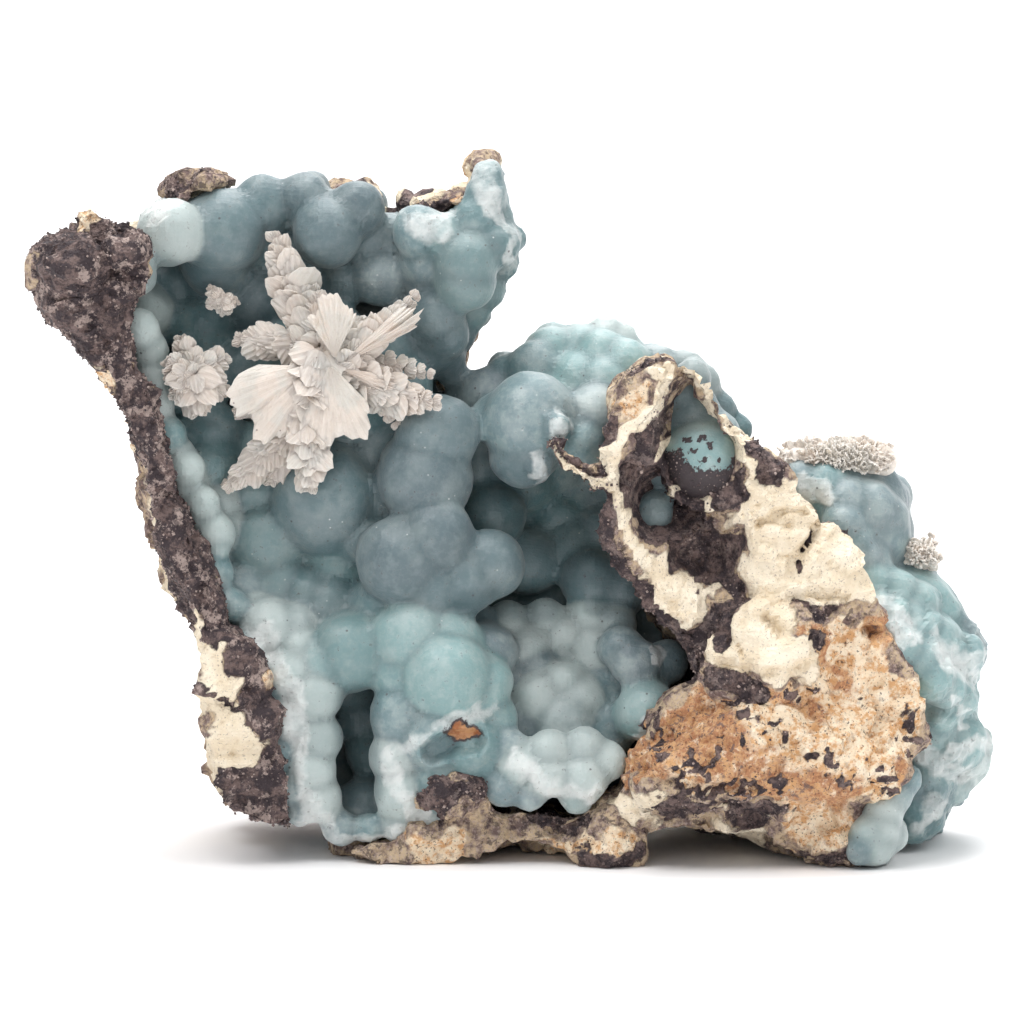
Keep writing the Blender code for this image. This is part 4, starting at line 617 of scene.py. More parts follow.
def keep_largest(thing):
    """Deletes every loose bit but the biggest."""
    shape = bmesh.new()
    shape.from_mesh(thing.data)
    left, bodies = set(shape.verts), []
    while left:
        front = [left.pop()]
        body = set(front)
        while front:
            for edge in front.pop().link_edges:
                for vertex in edge.verts:
                    if vertex in left:
                        left.discard(vertex)
                        body.add(vertex)
                        front.append(vertex)
        bodies.append(body)
    bodies.sort(key=len)
    for body in bodies[:-1]:
        bmesh.ops.delete(shape, geom=list(body), context="VERTS")
    shape.to_mesh(thing.data)
    shape.free()


def stroke_field(x, height, strokes):
    """1 on the strokes, 0.5 at half their width and 0 well off them."""
    field = np.zeros(len(x))
    place = np.stack((x, height), axis=1)
    for path, half_width in strokes:
        for start, end in zip(path, path[1:]):
            start, way = np.array(start), np.subtract(end, start)
            share = np.clip((place - start) @ way / max(way @ way, 1e-9), 0, 1)
            away = np.linalg.norm(place - start - share[:, None] * way, axis=1)
            field = np.maximum(field, smooth_step(1.5 - away / half_width))
    return field


def patch_field(x, height, outlines, softness=0.9):
    """1 inside the outlines, 0.5 on them and 0 well outside, over a soft edge."""
    field = np.zeros(len(x))
    place = np.stack((x, height), axis=1)
    for outline in outlines:
        inside = np.zeros(len(x), dtype=bool)
        away = np.full(len(x), 1e9)
        for start, end in zip(outline, outline[1:] + outline[:1]):
            start, way = np.array(start), np.subtract(end, start)
            share = np.clip((place - start) @ way / max(way @ way, 1e-9), 0, 1)
            away = np.minimum(away, np.linalg.norm(place - start - share[:, None] * way, axis=1))
            if way[1]:
                crossing = start[0] + (height - start[1]) / way[1] * way[0]
                inside ^= ((start[1] > height) != (end[1] > height)) & (x < crossing)
        field = np.maximum(field, smooth_step(0.5 + np.where(inside, away, -away) / (2 * softness)))
    return field


def noise_at(points, width, seed=0.0):
    """Smooth noise from -1 to 1 whose lumps are about as wide as given, in millimetres."""
    shift = Vector((seed * 3.7, seed * 1.9, seed * 5.3))
    return np.array([noise.noise(Vector(point) + shift) for point in points / width])


def strayed(points, x, height, reach, seed):
    """Places in the front view, moved a little by noise, so that what is painted there has ragged edges."""
    moved = []
    for turn, place in enumerate((x, height)):
        coarse = noise_at(points, 2.4, seed + 2 * turn)
        fine = noise_at(points, 0.9, seed + 2 * turn + 1)
        moved.append(place + reach * (2.0 * coarse + 1.0 * fine))
    return moved


def chips_at(points, width, seed):
    """The relief of a surface broken in flat chips, from about -1 to 1: each chip leans its own way."""
    shift = Vector((seed * 2.1, seed * 4.7, seed * 1.3))
    relief = np.empty(len(points))
    for index, point in enumerate(points / width):
        place = Vector(point) + shift
        middle = noise.voronoi(place)[1][0]
        lean = noise.cell_vector(middle * 31.7) * 2 - Vector((1, 1, 1))
        relief[index] = (place - middle).dot(lean) + 0.3 * lean.x
    return relief


def summed(relief, points, parts):
    """Reliefs of one kind added up. Each part is a height, a width and a seed."""
    return sum(height * relief(points, width, seed) for height, width, seed in parts)


def press_pockets(points, normals):
    """Pushes the front of the right mass back where it has hollows."""
    x, height, depth = seen(points)
    able = (normals[:, 1] <= FACING_FRONT) & (depth <= POCKET_START)
    kept = smooth_step(2 * patch_field(x, height, [RIGHT_MASS], POCKET_MARGIN) - 1)
    for (middle_x, middle_h), (half_x, half_h), deep in POCKETS:
        away = np.hypot((x - middle_x) / half_x, (height - middle_h) / half_h)
        inside = able & (away < 1)
        points[inside, 1] += deep * (1 - away[inside] ** 3) * kept[inside]
        able &= ~inside


def make_rock():
    clay = Clay()
    for outline, front, back, narrowing in ROCK_SLABS:
        clay.slab(outline, front, back, narrowing)
    for place, half_sizes in ROCK_LUMPS:
        clay.lump(place, half_sizes)
    for rib in ROCK_RIBS:
        for (x1, h1, y1, r1), (x2, h2, y2, r2) in zip(rib, rib[1:]):
            clay.finger(placed(x1, h1, y1), placed(x2, h2, y2), r1, r2)
    for x, depth, radius in FEET:
        foot = placed(x, 0, depth)
        foot[2] = radius - FOOT_DIP
        clay.finger(foot, foot + (0, 0, radius * FOOT_STRETCH), radius, radius)
    rock = grown("rock", clay, ROCK_VOXEL, 1)
    points, normals = points_of(rock.data)
    press_pockets(points, normals)
    still = points + (CENTRE_X, CENTRE_Y, 0)
    relief = LUMP_HEIGHT * noise_at(still, LUMP_WIDTH)
    chips = [noise.noise(Vector(place) / CHIP_WIDTH + Vector(CHIP_SHIFT)) for place in still]
    relief += CHIP_HEIGHT * np.array(chips)
    x, height, depth = seen(points)
    front = smooth_step((PAINT_END - depth) / PAINT_FADE)
    far, near = strayed(still, x, height, PATCH_STRAY, 31), strayed(still, x, height, STROKE_STRAY, 37)
    veins = stroke_field(*near, VEIN_STROKES)
    dark = np.maximum(patch_field(*far, DARK_PATCHES), stroke_field(*near, DARK_STROKES))
    flecks = stroke_field(*far, FLECK_STROKES) * smooth_step(2.2 * noise_at(still, 0.7, 17) + 0.42)
    dark = np.maximum(dark, flecks)
    fields = {
        "cream": patch_field(*far, CREAM_PATCHES) * front,
        "vein": veins * front,
        "dark": dark * front,
        "rust": patch_field(*far, RUST_PATCHES) * front,
        "orange": stroke_field(*far, ORANGE_STROKES) * front,
    }
    inside = smooth_step((x - LEFT_PART_END) / LEFT_PART_FADE)
    rough = GRIT_HEIGHT + DARK_GRIT * fields["dark"] + RUST_GRIT * fields["rust"]
    relief += summed(chips_at, still, FLAT_CHIPS)
    relief += rough * summed(noise_at, still, GRIT)
    relief += LAYER_HEIGHT * fields["cream"] * noise_at(still * LAYER_SQUEEZE, LAYER_WIDTH, 9)
    raised = VEIN_HEIGHT * smooth_step(veins * 1.4) * front
    relief += raised - STAIN_DEPTH * smooth_step(dark - flecks) * front * inside
    relief -= CRACK_DEPTH * stroke_field(*near, CRACK_STROKES) * front
    points += normals * relief[:, None]
    points[:, 2] = np.maximum(points[:, 2], 0)
    low, high = visual_room()
    low[2] = 0
    move_points(rock.data, np.clip(points, low, high))
    for name, values in fields.items():
        keep(rock.data, name, values)
    keep(rock.data, "wild", 1 - front)
    return rock


def visual_room():
    """The corners of the model's box in millimetres, a hair inside it."""
    return np.array(MODEL_BOX[0]) / MM + ROOM_MARGIN, np.array(MODEL_BOX[1]) / MM - ROOM_MARGIN


def is_outer(x, height):
    """Whether a globe lies near the upper outline or the right outline of the front view."""
    if x < LEFT_END:
        return height > LEFT_TOP
    return x > HUMP_END or height > HUMP_TOP


def side_globes(globes, root, seed):
    """Small globes scattered along the outer fingers, where they show from above and from the side."""
    chance = random.Random(seed)
    found = []
    for x, height, depth, radius in globes:
        if not is_outer(x, height):
            continue
        steps = int((root - depth) / SIDE_GLOBE_SPACING)
        for step in range(steps):
            angle = chance.uniform(0, math.tau)
            reach = radius * SIDE_REACH
            found.append((
                x + reach * math.cos(angle),
                height + reach * math.sin(angle),
                depth + (step + 1) * SIDE_GLOBE_SPACING + chance.uniform(-SIDE_JITTER, SIDE_JITTER),
                radius * chance.uniform(*SIDE_SIZES),
            ))
    return found


def globe_tones(points, globes, seed):
    """Values for each point: how near it is to a crease between globes, for the painted shade there, its
    globe's own tones, and whether its globe is left out of the painted shade of the hollow.
    """
    chance = random.Random(seed)
    centres = np.array([placed(x, h, y) for x, h, y, _ in globes])
    radii = np.array([radius for *_, radius in globes])
    x, height = np.array([(x, h) for x, h, _, _ in globes]).T
    tones = [np.array([chance.random() for _ in globes])]
    tones += [stroke_field(x, height, strokes) for strokes in (PALE_TONES, AQUA_TONES, GREY_TONES)]
    # Whether each globe is left out of the painted shade of the hollow.
    tones.append(np.maximum(stroke_field(x, height, UNSHADED_GLOBES), x > HUMP_END))
    tones = np.stack(tones, axis=1)
    crease, tone = np.empty(len(points)), np.empty((len(points), 5))
    for start in range(0, len(points), 8000):
        part = slice(start, start + 8000)
        away = np.linalg.norm(points[part, None] - centres, axis=2) - radii
        nearest = np.partition(away, 1, axis=1)
        # Nearness to the crease between the two nearest globes, where painted shade goes.
        crease[part] = smooth_step(1 - (nearest[:, 1] - nearest[:, 0]) / CREASE_WIDTH)
        weight = np.exp(-(away - nearest[:, :1]) / TONE_BLEND)
        tone[part] = weight @ tones / weight.sum(axis=1)[:, None]
    return {"crease": crease, **dict(zip(("tone", "pale", "aqua", "grey", "unshaded"), tone.T))}


def make_crust(name, groups, beds, smoothing, folded):
    """One crust from groups of globes, their root and their seed, and how much of it runs in folds."""
    clay = Clay()
    chance = random.Random(name)
    every = []
    for outline, front, back in beds:
        clay.slab(outline, front, back, BED_NARROWING)
    for globes, root, seed in groups:
        for x, height, depth, radius in globes:
            back = max(root - chance.uniform(0, FINGER_STRAY), depth + FINGER_LEAST)
            ends = placed(x, height, depth), placed(x, height, back)
            clay.finger(*ends, radius * FINGER_FRONT, radius * FINGER_BACK)
            clay.globe((x, height, depth), radius * GLOBE_SWELL, chance)
            every.append((x, height, depth, radius))
        for x, height, depth, radius in side_globes(globes, root, seed):
            clay.globe((x, height, depth), radius * SIDE_SWELL, chance)
            every.append((x, height, depth, radius))
    crust = grown(name, clay, CRUST_VOXEL, smoothing)
    points, normals = points_of(crust.data)
    x, height, depth = seen(points)
    front = smooth_step((CRUST_PAINT_END - depth) / PAINT_FADE)
    near = strayed(points, x, height, CRUST_STRAY, 41)
    white = np.maximum(patch_field(*near, WHITE_PATCHES), stroke_field(*near, WHITE_STROKES)) * front
    relief = summed(noise_at, points, SWELLINGS)
    relief += white * (summed(chips_at, points, [WHITE_CHIPS]) + summed(noise_at, points, [WHITE_GRIT]))
    if folded:
        folds = summed(noise_at, points, FOLDS) + summed(chips_at, points, [FOLD_CHIPS])
        relief += folded * smooth_step((FOLD_TOP - height) / FOLD_FADE) * folds
    points += normals * relief[:, None]
    points[:, 1] += CAVITY_DEPTH * stroke_field(x, height, CAVITY_STROKES) * front
    points = np.clip(points, *visual_room())
    move_points(crust.data, points)
    fields = {
        "white": white,
        # Painted shade, along the shade strokes.
        "shade": stroke_field(x, height, SHADE_STROKES) * front,
        "rusty": stroke_field(*near, RUST_SPOTS) * front,
        "stain": stroke_field(*strayed(points, x, height, STAIN_STRAY, 43), STAIN_STROKES) * front,
        **globe_tones(points, every, name),
    }
    for key, values in fields.items():
        keep(crust.data, key, values)
    return crust


# One scale of crystal: rows from its root to its tip, columns across it, its thickness and its ribs' height.
SCALE_ROWS, SCALE_COLUMNS = 6, 9
SCALE_THICKNESS, RIB_HEIGHT = 0.30, 0.07
# How far apart the rows of scales on an arm are.
ROW_SPACING = 1.15
# Each ribbed shell: the place it spreads from, its middle way, its half spread, and its length.
SPRAY_SHELLS = [
    ((-19.4, 50.8, -9.4), -142, 36, 8.8), ((-18.4, 50.8, -10), -82, 38, 7.4),
    ((-18, 51.4, -9.8), 92, 30, 5.8), ((-17.2, 51, -9.2), 34, 11, 8.4), ((-17.4, 50.4, -9.4), -18, 12, 7),
]
SHELL_RIBS, SHELL_ROWS, SHELL_START, SHELL_HALF_THICKNESS = 9, 14, 0.04, 0.34
# Each mound of short scales: its two ends, its radius, how many scales, and their size.
DRUSE_MOUNDS = [((27.6, 41.2, -4.0), (36.8, 41.0, -3.8), 2.1, 420, 1.35)]
TUFT_MOUNDS = [((39.7, 31.6, -4.0), (41.1, 31.6, -4.0), 1.7, 150, 1.2)]


class Scales:
    """Crystal scales: thin closed plates with ribs that spread from the root to an uneven rim."""

    def __init__(self, seed):
        self.clay = Clay()
        self.chance = random.Random(seed)

    def plate(self, middle, face, half, along, across):
        """A thin closed plate round a grid of points: which way it faces, and half its thickness."""
        rows, columns = along.shape
        count = rows * columns
        middle, half = middle.reshape(-1, 3), half.reshape(-1, 1)
        faces = []
        for row in range(rows - 1):
            for column in range(columns - 1):
                here = row * columns + column
                quad = [here, here + 1, here + columns + 1, here + columns]
                faces.append(quad)
                faces.append([count + corner for corner in reversed(quad)])
        last = (rows - 1) * columns
        rim = list(range(columns))
        rim += [row * columns + columns - 1 for row in range(1, rows)]
        rim += [last + column for column in reversed(range(columns - 1))]
        rim += [row * columns for row in reversed(range(1, rows - 1))]
        for corner, beside in zip(rim, rim[1:] + rim[:1]):
            faces.append([beside, corner, count + corner, count + beside])
        self.clay.add(
            np.vstack((middle + face * half, middle - face * half)), faces,
            along=np.tile(along.ravel(), 2), across=np.tile(across.ravel(), 2), plate=self.chance.random(),
        )

    def add(self, root, ahead, face, length, width):
        """One scale, rounded at its tip."""
        chance = self.chance
        ahead = ahead / np.linalg.norm(ahead)
        side = np.cross(face, ahead)
        side /= np.linalg.norm(side)
        face = np.cross(ahead, side)
        along, across = np.meshgrid(
            np.linspace(0, 1, SCALE_ROWS), np.linspace(-1, 1, SCALE_COLUMNS), indexing="ij"
        )
        teeth = np.array([chance.uniform(-1, 1) for _ in range(SCALE_COLUMNS)])
        ribs = np.array([(-1) ** column + chance.uniform(-0.6, 0.6) for column in range(SCALE_COLUMNS)])
        bend, wave = chance.uniform(-0.10, 0.16), chance.uniform(-0.12, 0.12)
        reach = length * along * (1 - 0.40 * across ** 2 + 0.06 * teeth * along)
        opening = 0.36 + 0.64 * np.sin(np.pi / 2 * np.minimum(along * 1.4, 1))
        aside = across * (width / 2 * opening * (1 - 0.12 * along ** 4))
        lift = 0.10 * width * (1 - across ** 2) + bend * length * along ** 2 + wave * width * across * along
        lift += RIB_HEIGHT * ribs * along
        middle = root + ahead * reach[..., None] + side * aside[..., None] + face * lift[..., None]
        self.plate(middle, face, SCALE_THICKNESS / 2 * (1 - 0.65 * along), along, aside)

    def add_shell(self, place, middle_way, half_spread, length):
        """One wide shell whose ribs spread from a place, with a scalloped rim."""
        chance = self.chance
        columns = SHELL_RIBS * 4 + 1
        along, across = np.meshgrid(
            np.linspace(SHELL_START, 1, SHELL_ROWS), np.linspace(-1, 1, columns), indexing="ij"
        )
        ribs = 0.5 - 0.5 * np.cos(np.linspace(0, math.tau * SHELL_RIBS, columns))
        uneven = np.array([chance.uniform(-1, 1) for _ in range(SHELL_RIBS + 2)])
        uneven = np.interp(np.linspace(0, SHELL_RIBS + 1, columns), np.arange(SHELL_RIBS + 2), uneven)
        reach = length * along * (1 - 0.22 * np.abs(across) ** 3 + (0.05 * ribs + 0.13 * uneven) * along)
        angle = np.radians(middle_way + half_spread * across + 3 * uneven * along)
        rise = 0.13 * length * np.sin(math.pi * along * 0.75) * (1 - 0.6 * across ** 2)
        rise += (0.13 * ribs + 0.30 * uneven) * along + 0.14 * np.sin(along * 17 + 3.5 * uneven) * along
        middle = placed(*place) + np.stack((reach * np.cos(angle), -rise, reach * np.sin(angle)), axis=2)
        face = np.array((0, -1.0, 0))
        half = SHELL_HALF_THICKNESS * (1 - 0.7 * along)
        self.plate(middle, face, half, along, across * half_spread * length * 0.02)

    def add_arm(self, root, tip, width):
        """An arm like a leaf: rows of scales, left, middle and right, which lap over the rows beyond them."""
        chance = self.chance
        start, end = placed(*root), placed(*tip)
        spine = end - start
        length = np.linalg.norm(spine)
        way = spine / length
        across = np.cross(way, (0, -1.0, 0))
        across /= np.linalg.norm(across)
        towards = np.cross(across, way)
        towards = towards if towards[1] < 0 else -towards
        self.body(start - towards * 0.9, start + spine * 0.78, width * 0.16, width * 0.08)
        rows = max(4, round(length / ROW_SPACING))
        for row in range(rows):
            share = row / (rows - 1)
            swell = 0.55 + 0.45 * math.sin(math.pi * min(share * 0.8 + 0.2, 1))
            half = width / 2 * swell * (1 - 0.25 * share ** 3)
            rise = width * 0.22 * (1 - 0.65 * share)
            for side in (-1, 1, 0, chance.uniform(-0.7, 0.7)):
                size = half * chance.uniform(0.75, 1.20) * (1.0 if side in (-1, 1) else 0.8)
                turn = side * chance.uniform(28, 58) * (1 - 0.45 * share)
                angle = math.radians(turn + chance.uniform(-14, 14))
                ahead = way * math.cos(angle) + across * math.sin(angle)
                ahead = ahead + towards * chance.uniform(-0.02, 0.24)
                foot = start + spine * share * 0.84 + across * side * half * 0.16
                foot = foot + towards * (rise * (1.0 - 0.35 * abs(side)) + chance.uniform(-0.10, 0.15))
                face = towards + across * side * 0.35 - way * chance.uniform(0.0, 0.30)
                self.add(foot, ahead, face, size * 1.12, size * chance.uniform(1.0, 1.35))

    def add_mound(self, start, end, radius, count, size):
        """A dense low mound of short scales that stand out all round from the line between two places."""
        chance = self.chance
        first, last = placed(*start), placed(*end)
        self.body(first, last, radius * 0.66, radius * 0.66)
        for _ in range(count):
            share = chance.random()
            turn = math.radians(chance.uniform(-30, 190))
            lean = chance.uniform(-0.35, 0.35) + 1.2 * (share - 0.5)
            aside = np.array((lean, -math.cos(turn), math.sin(turn)))
            thick = radius * (0.55 + 0.45 * math.sin(math.pi * share)) * chance.uniform(0.55, 1.0)
            foot = first + (last - first) * share + aside * thick * 0.6
            face = np.cross(aside, (chance.gauss(0, 1), chance.gauss(0, 1), chance.gauss(0, 1)))
            self.add(foot, aside, face, size * chance.uniform(0.6, 1.1), size * chance.uniform(0.5, 0.9))

    def body(self, start, end, start_radius, end_radius):
        """The massive middle of an arm, under its scales."""
        before = self.clay.count
        self.clay.finger(start, end, start_radius, end_radius)
        added = self.clay.count - before
        for name, value in (("along", 0.3), ("across", 0.0), ("plate", 0.5)):
            self.clay.values.setdefault(name, []).append(np.full(added, value))

    def object(self, name):
        made = self.clay.object(name)
        points, _ = points_of(made.data)
        move_points(made.data, np.clip(points, *visual_room()))
        return made


def make_crystals(name, arms, seed, shells, mounds, forward):
    """A group of crystals. It stands further forward than the model's by the millimetres given."""
    scales = Scales(seed)
    for (x1, h1, y1), (x2, h2, y2), width in arms:
        scales.add_arm((x1, h1, y1 - forward), (x2, h2, y2 - forward), width)
    for shell in shells:
        scales.add_shell(*shell)
    for mound in mounds:
        scales.add_mound(*mound)
    return scales.object(name)


GRAIN_FORM = [(1, 0, 0), (-1, 0, 0), (0, 1, 0), (0, -1, 0), (0, 0, 1), (0, 0, -1)]
GRAIN_FACES = [
    (0, 2, 4), (2, 1, 4), (1, 3, 4), (3, 0, 4), (2, 0, 5), (1, 2, 5), (3, 1, 5), (0, 3, 5),
]


def make_grains(name, ground, field, count, sizes, seed):
    """Tiny angular grains in clusters, where a field on the ground is strong."""
    points, normals = points_of(ground.data)
    values = np.empty(len(points), dtype=np.float32)
    ground.data.attributes[field].data.foreach_get("value", values)
    draw = np.random.default_rng(seed)
    weight = np.clip(values - 0.4, 0, None) * smooth_step(1.3 * noise_at(points, 1.5, seed) + 0.5)
    count = min(count, int(np.count_nonzero(weight) * 0.8))
    chosen = draw.choice(len(points), size=count, replace=False, p=weight / weight.sum())
    form = np.array(GRAIN_FORM, dtype=float)
    clay = Clay()
    for index, turn in zip(chosen, draw.normal(size=(count, 4))):
        turn /= np.linalg.norm(turn)
        w, x, y, z = turn
        spin = np.array([
            [1 - 2 * (y * y + z * z), 2 * (x * y - z * w), 2 * (x * z + y * w)],
            [2 * (x * y + z * w), 1 - 2 * (x * x + z * z), 2 * (y * z - x * w)],
            [2 * (x * z - y * w), 2 * (y * z + x * w), 1 - 2 * (x * x + y * y)],
        ])
        size = sizes[0] + (sizes[1] - sizes[0]) * draw.random() ** 2
        stretch = size * draw.uniform(0.7, 1.15, 3)
        aside = draw.normal(size=3) * 0.15
        aside -= normals[index] * (aside @ normals[index])
        corners = points[index] + aside + normals[index] * size * 0.1 + (form * stretch) @ spin.T
        if corners[:, 2].min() > 0.1:
            clay.add(np.clip(corners, *visual_room()), GRAIN_FACES, grain=draw.random())
    return clay.object(name)


class Wire:
    """One socket's value. Sums on wires add Math nodes."""

    def __init__(self, finish, socket):
        self.finish = finish
        self.socket = socket

    def sum(self, operation, first, second):
        return self.finish.add("ShaderNodeMath", {"operation": operation}, {0: first, 1: second})

    def __add__(self, other):
        return self.sum("ADD", self, other)

    __radd__ = __add__

    def __sub__(self, other):
        return self.sum("SUBTRACT", self, other)

    def __rsub__(self, other):
        return self.sum("SUBTRACT", other, self)

    def __mul__(self, other):
        return self.sum("MULTIPLY", self, other)

    __rmul__ = __mul__

    def __or__(self, other):
        return self.sum("MAXIMUM", self, other)

    __ror__ = __or__


class Finish:
    """A material in the making."""

    def __init__(self, name):
        self.material = bpy.data.materials.new(name)
        self.material.use_nodes = True
        self.tree = self.material.node_tree
        self.shader = self.tree.nodes["Principled BSDF"]
        place = self.add("ShaderNodeTexCoord", out="Object")
        self.place = self.add(
            "ShaderNodeVectorMath", {"operation": "SCALE"}, {"Vector": place, "Scale": 1 / MM}
        )

    def add(self, kind, settings=None, sockets=None, out=0):
        """A node: its type, its settings, the values or wires of its sockets, and the output that is used."""
        node = self.tree.nodes.new(kind)
        for name, value in (settings or {}).items():
            setattr(node, name, value)
        for name, value in (sockets or {}).items():
            self.plug(node.inputs[name], value)
        return Wire(self, node.outputs[out])

    def plug(self, socket, value):
        if isinstance(value, Wire):
            self.tree.links.new(value.socket, socket)
        elif hasattr(value, "__len__") and len(value) == 3 and len(socket.default_value) == 4:
            socket.default_value = (*value, 1)
        else:
            socket.default_value = value

    def set(self, **sockets):
        """Plugs the shader's own sockets. An underscore in a name stands for a space."""
        for name, value in sockets.items():
            self.plug(self.shader.inputs[name.replace("_", " ")], value)

    def value(self, name):
        """A number kept on the mesh."""
        return self.add("ShaderNodeAttribute", {"attribute_name": name}, out="Fac")

    def noise(self, width, detail, seed, roughness=0.55):
        """Noise from 0 to 1 with lumps about as wide as given, in millimetres."""
        return self.add(
            "ShaderNodeTexNoise", {"noise_dimensions": "4D"},
            {"Vector": self.place, "W": seed, "Scale": 1 / width, "Detail": detail, "Roughness": roughness},
        )

    def stretched(self, flat, tall):
        """The place with its heights squeezed, for thin layers: how fine it is sideways and upwards."""
        return self.add(
            "ShaderNodeVectorMath", {"operation": "MULTIPLY"}, {0: self.place, 1: (flat, flat, tall)}
        )

    def spots(self, width, shift):
        """The distance to the nearest of many scattered points that lie about a width apart."""
        moved = self.add("ShaderNodeVectorMath", {"operation": "ADD"}, {0: self.place, 1: (shift,) * 3})
        return self.add("ShaderNodeTexVoronoi", {}, {"Vector": moved, "Scale": 1 / width}, "Distance")

    def ramp(self, value, low, high):
        """0 below low, 1 above high, and smooth between."""
        return self.add(
            "ShaderNodeMapRange", {"interpolation_type": "SMOOTHSTEP"},
            {"Value": value, "From Min": low, "From Max": high},
        )

    def dust(self):
        """Where the dark rock is dusty: in streaks, mostly on the left wall."""
        sideways = self.add("ShaderNodeSeparateXYZ", {}, {"Vector": self.place}, "X")
        streaks = self.noise(1.9, 5, 5, 0.72)
        return self.ramp(streaks, 0.53, 0.58) * (0.35 + self.ramp(sideways, -16, -24) * 0.65)

    def mix(self, share, first, second):
        return self.add("ShaderNodeMix", {"data_type": "RGBA"}, {0: share, 6: first, 7: second}, 2)

    def coats(self, colour, *layers):
        """A colour under layers: each is a share and its own colour."""
        for share, over in layers:
            colour = self.mix(share, colour, over)
        return colour

    def bump(self, height, depth, strength):
        """Fine relief of a height from 0 to 1 that stands for a depth in millimetres."""
        return self.add(
            "ShaderNodeBump", {}, {"Strength": strength, "Distance": depth * MM, "Height": height}
        )


def seen_colour(red, green, blue):
    """A colour as seen on a screen, from 0 to 255, as the shaders want it."""
    return tuple(((part / 255 + 0.055) / 1.055) ** 2.4 for part in (red, green, blue))


# The second teal here is the dark teal of the painted shade on the globes.
TEAL, SHADED_TEAL = seen_colour(106, 137, 140), seen_colour(60, 84, 90)
GREY_BLUE, DEEP_GREY = seen_colour(126, 139, 144), seen_colour(100, 115, 121)
AQUA, PALE_GREEN, ICE = seen_colour(146, 177, 176), seen_colour(190, 200, 197), seen_colour(224, 226, 224)
SAND, PALE_SAND = seen_colour(233, 217, 191), seen_colour(245, 233, 212)
DULL_SAND, WARM = seen_colour(200, 178, 149), seen_colour(180, 164, 153)
SOOT, UMBER, DUST = seen_colour(62, 53, 56), seen_colour(118, 100, 96), seen_colour(184, 165, 157)
OCHRE, RUST, TAN = seen_colour(208, 162, 116), seen_colour(162, 100, 58), seen_colour(236, 216, 188)
PEARL, BLUSH, BEIGE = seen_colour(230, 221, 211), seen_colour(208, 194, 183), seen_colour(244, 232, 220)
FLOOR_GREY, FLOOR_WHITE = seen_colour(250, 249, 250), seen_colour(253, 252, 252)


def rock_finish():
    """Sandy cream rock, stained black and orange, with a crust of dark grains, and a painted shadow along one
    crack.
    """
    look = Finish("host_rock")
    wild = look.value("wild")
    coarse, fine, dust = look.noise(2.6, 5, 1, 0.65), look.noise(0.8, 4, 2, 0.65), look.noise(0.30, 3, 9)
    ragged = (coarse - 0.5) * 1.6 + (fine - 0.5) * 2.0
    cream_field = look.value("cream") | wild * look.ramp(look.noise(14, 2, 8), 0.50, 0.60)
    rust_field = look.value("rust") | wild * look.ramp(look.noise(12, 2, 4), 0.52, 0.62)
    dark_field = look.value("dark") | wild * look.ramp(look.noise(9, 2, 3), 0.52, 0.62)
    cream = look.ramp(cream_field + ragged * 0.35, 0.34, 0.58)
    rust = look.ramp(rust_field + ragged * 0.45, 0.34, 0.66)
    orange = look.ramp(look.value("orange") + ragged * 0.8, 0.30, 1.00)
    dark = look.ramp(dark_field + ragged * 0.42, 0.40, 0.56)
    vein = look.ramp(look.value("vein") + ragged * 0.25, 0.38, 0.60)
    dusty = look.dust()
    patchy = look.noise(1.5, 4, 15, 0.65)
    under = look.coats(
        UMBER,
        (look.ramp(patchy, 0.40, 0.60), DULL_SAND),
        (look.ramp(dust, 0.50, 0.62) * 0.6, DUST),
        (look.ramp(fine, 0.52, 0.60) * 0.7, SOOT),
    )
    sand = look.coats(
        SAND,
        (look.ramp(coarse, 0.38, 0.62), PALE_SAND),
        (look.ramp(fine, 0.54, 0.70) * 0.6, DULL_SAND),
        (look.ramp(look.noise(0.25, 2, 13), 0.60, 0.66) * 0.5, UMBER),
    )
    tan = look.coats(
        OCHRE,
        (look.ramp(fine, 0.40, 0.56), TAN),
        (look.ramp(patchy, 0.50, 0.62) * 0.75, PALE_SAND),
        (orange * look.ramp(fine, 0.40, 0.54) * 0.85, RUST),
        (orange * look.ramp(dust, 0.48, 0.60) * 0.6, OCHRE),
        (look.ramp(look.noise(0.9, 4, 16, 0.7), 0.56, 0.64) * (0.35 + orange * 0.5), UMBER),
        (look.ramp(look.noise(0.28, 2, 14), 0.60, 0.66) * 0.75, SOOT),
    )
    soot = look.coats(
        SOOT,
        (look.ramp(patchy, 0.44, 0.60), UMBER),
        (dusty * 0.75, DUST),
        (look.ramp(look.noise(0.55, 3, 6, 0.65), 0.52, 0.60) * 0.6, SOOT),
    )
    colour = look.coats(under, (cream, sand), (rust, tan), (dark, soot), (vein, sand))
    ledges = look.add(
        "ShaderNodeTexNoise", {"noise_dimensions": "4D"},
        {"Vector": look.stretched(0.35, 1.6), "W": 5.0, "Scale": 1.0, "Detail": 3.0, "Roughness": 0.6},
    )
    relief = dust * 0.35 + fine * 0.60 + cream * ledges * 0.60 + dark * look.noise(0.5, 2, 7) * 0.8
    normal = look.bump(relief, 0.60, 1.0)
    look.set(Base_Color=colour, Roughness=0.94 - dark * 0.22, Specular_IOR_Level=0.3, Normal=normal)
    return look.material


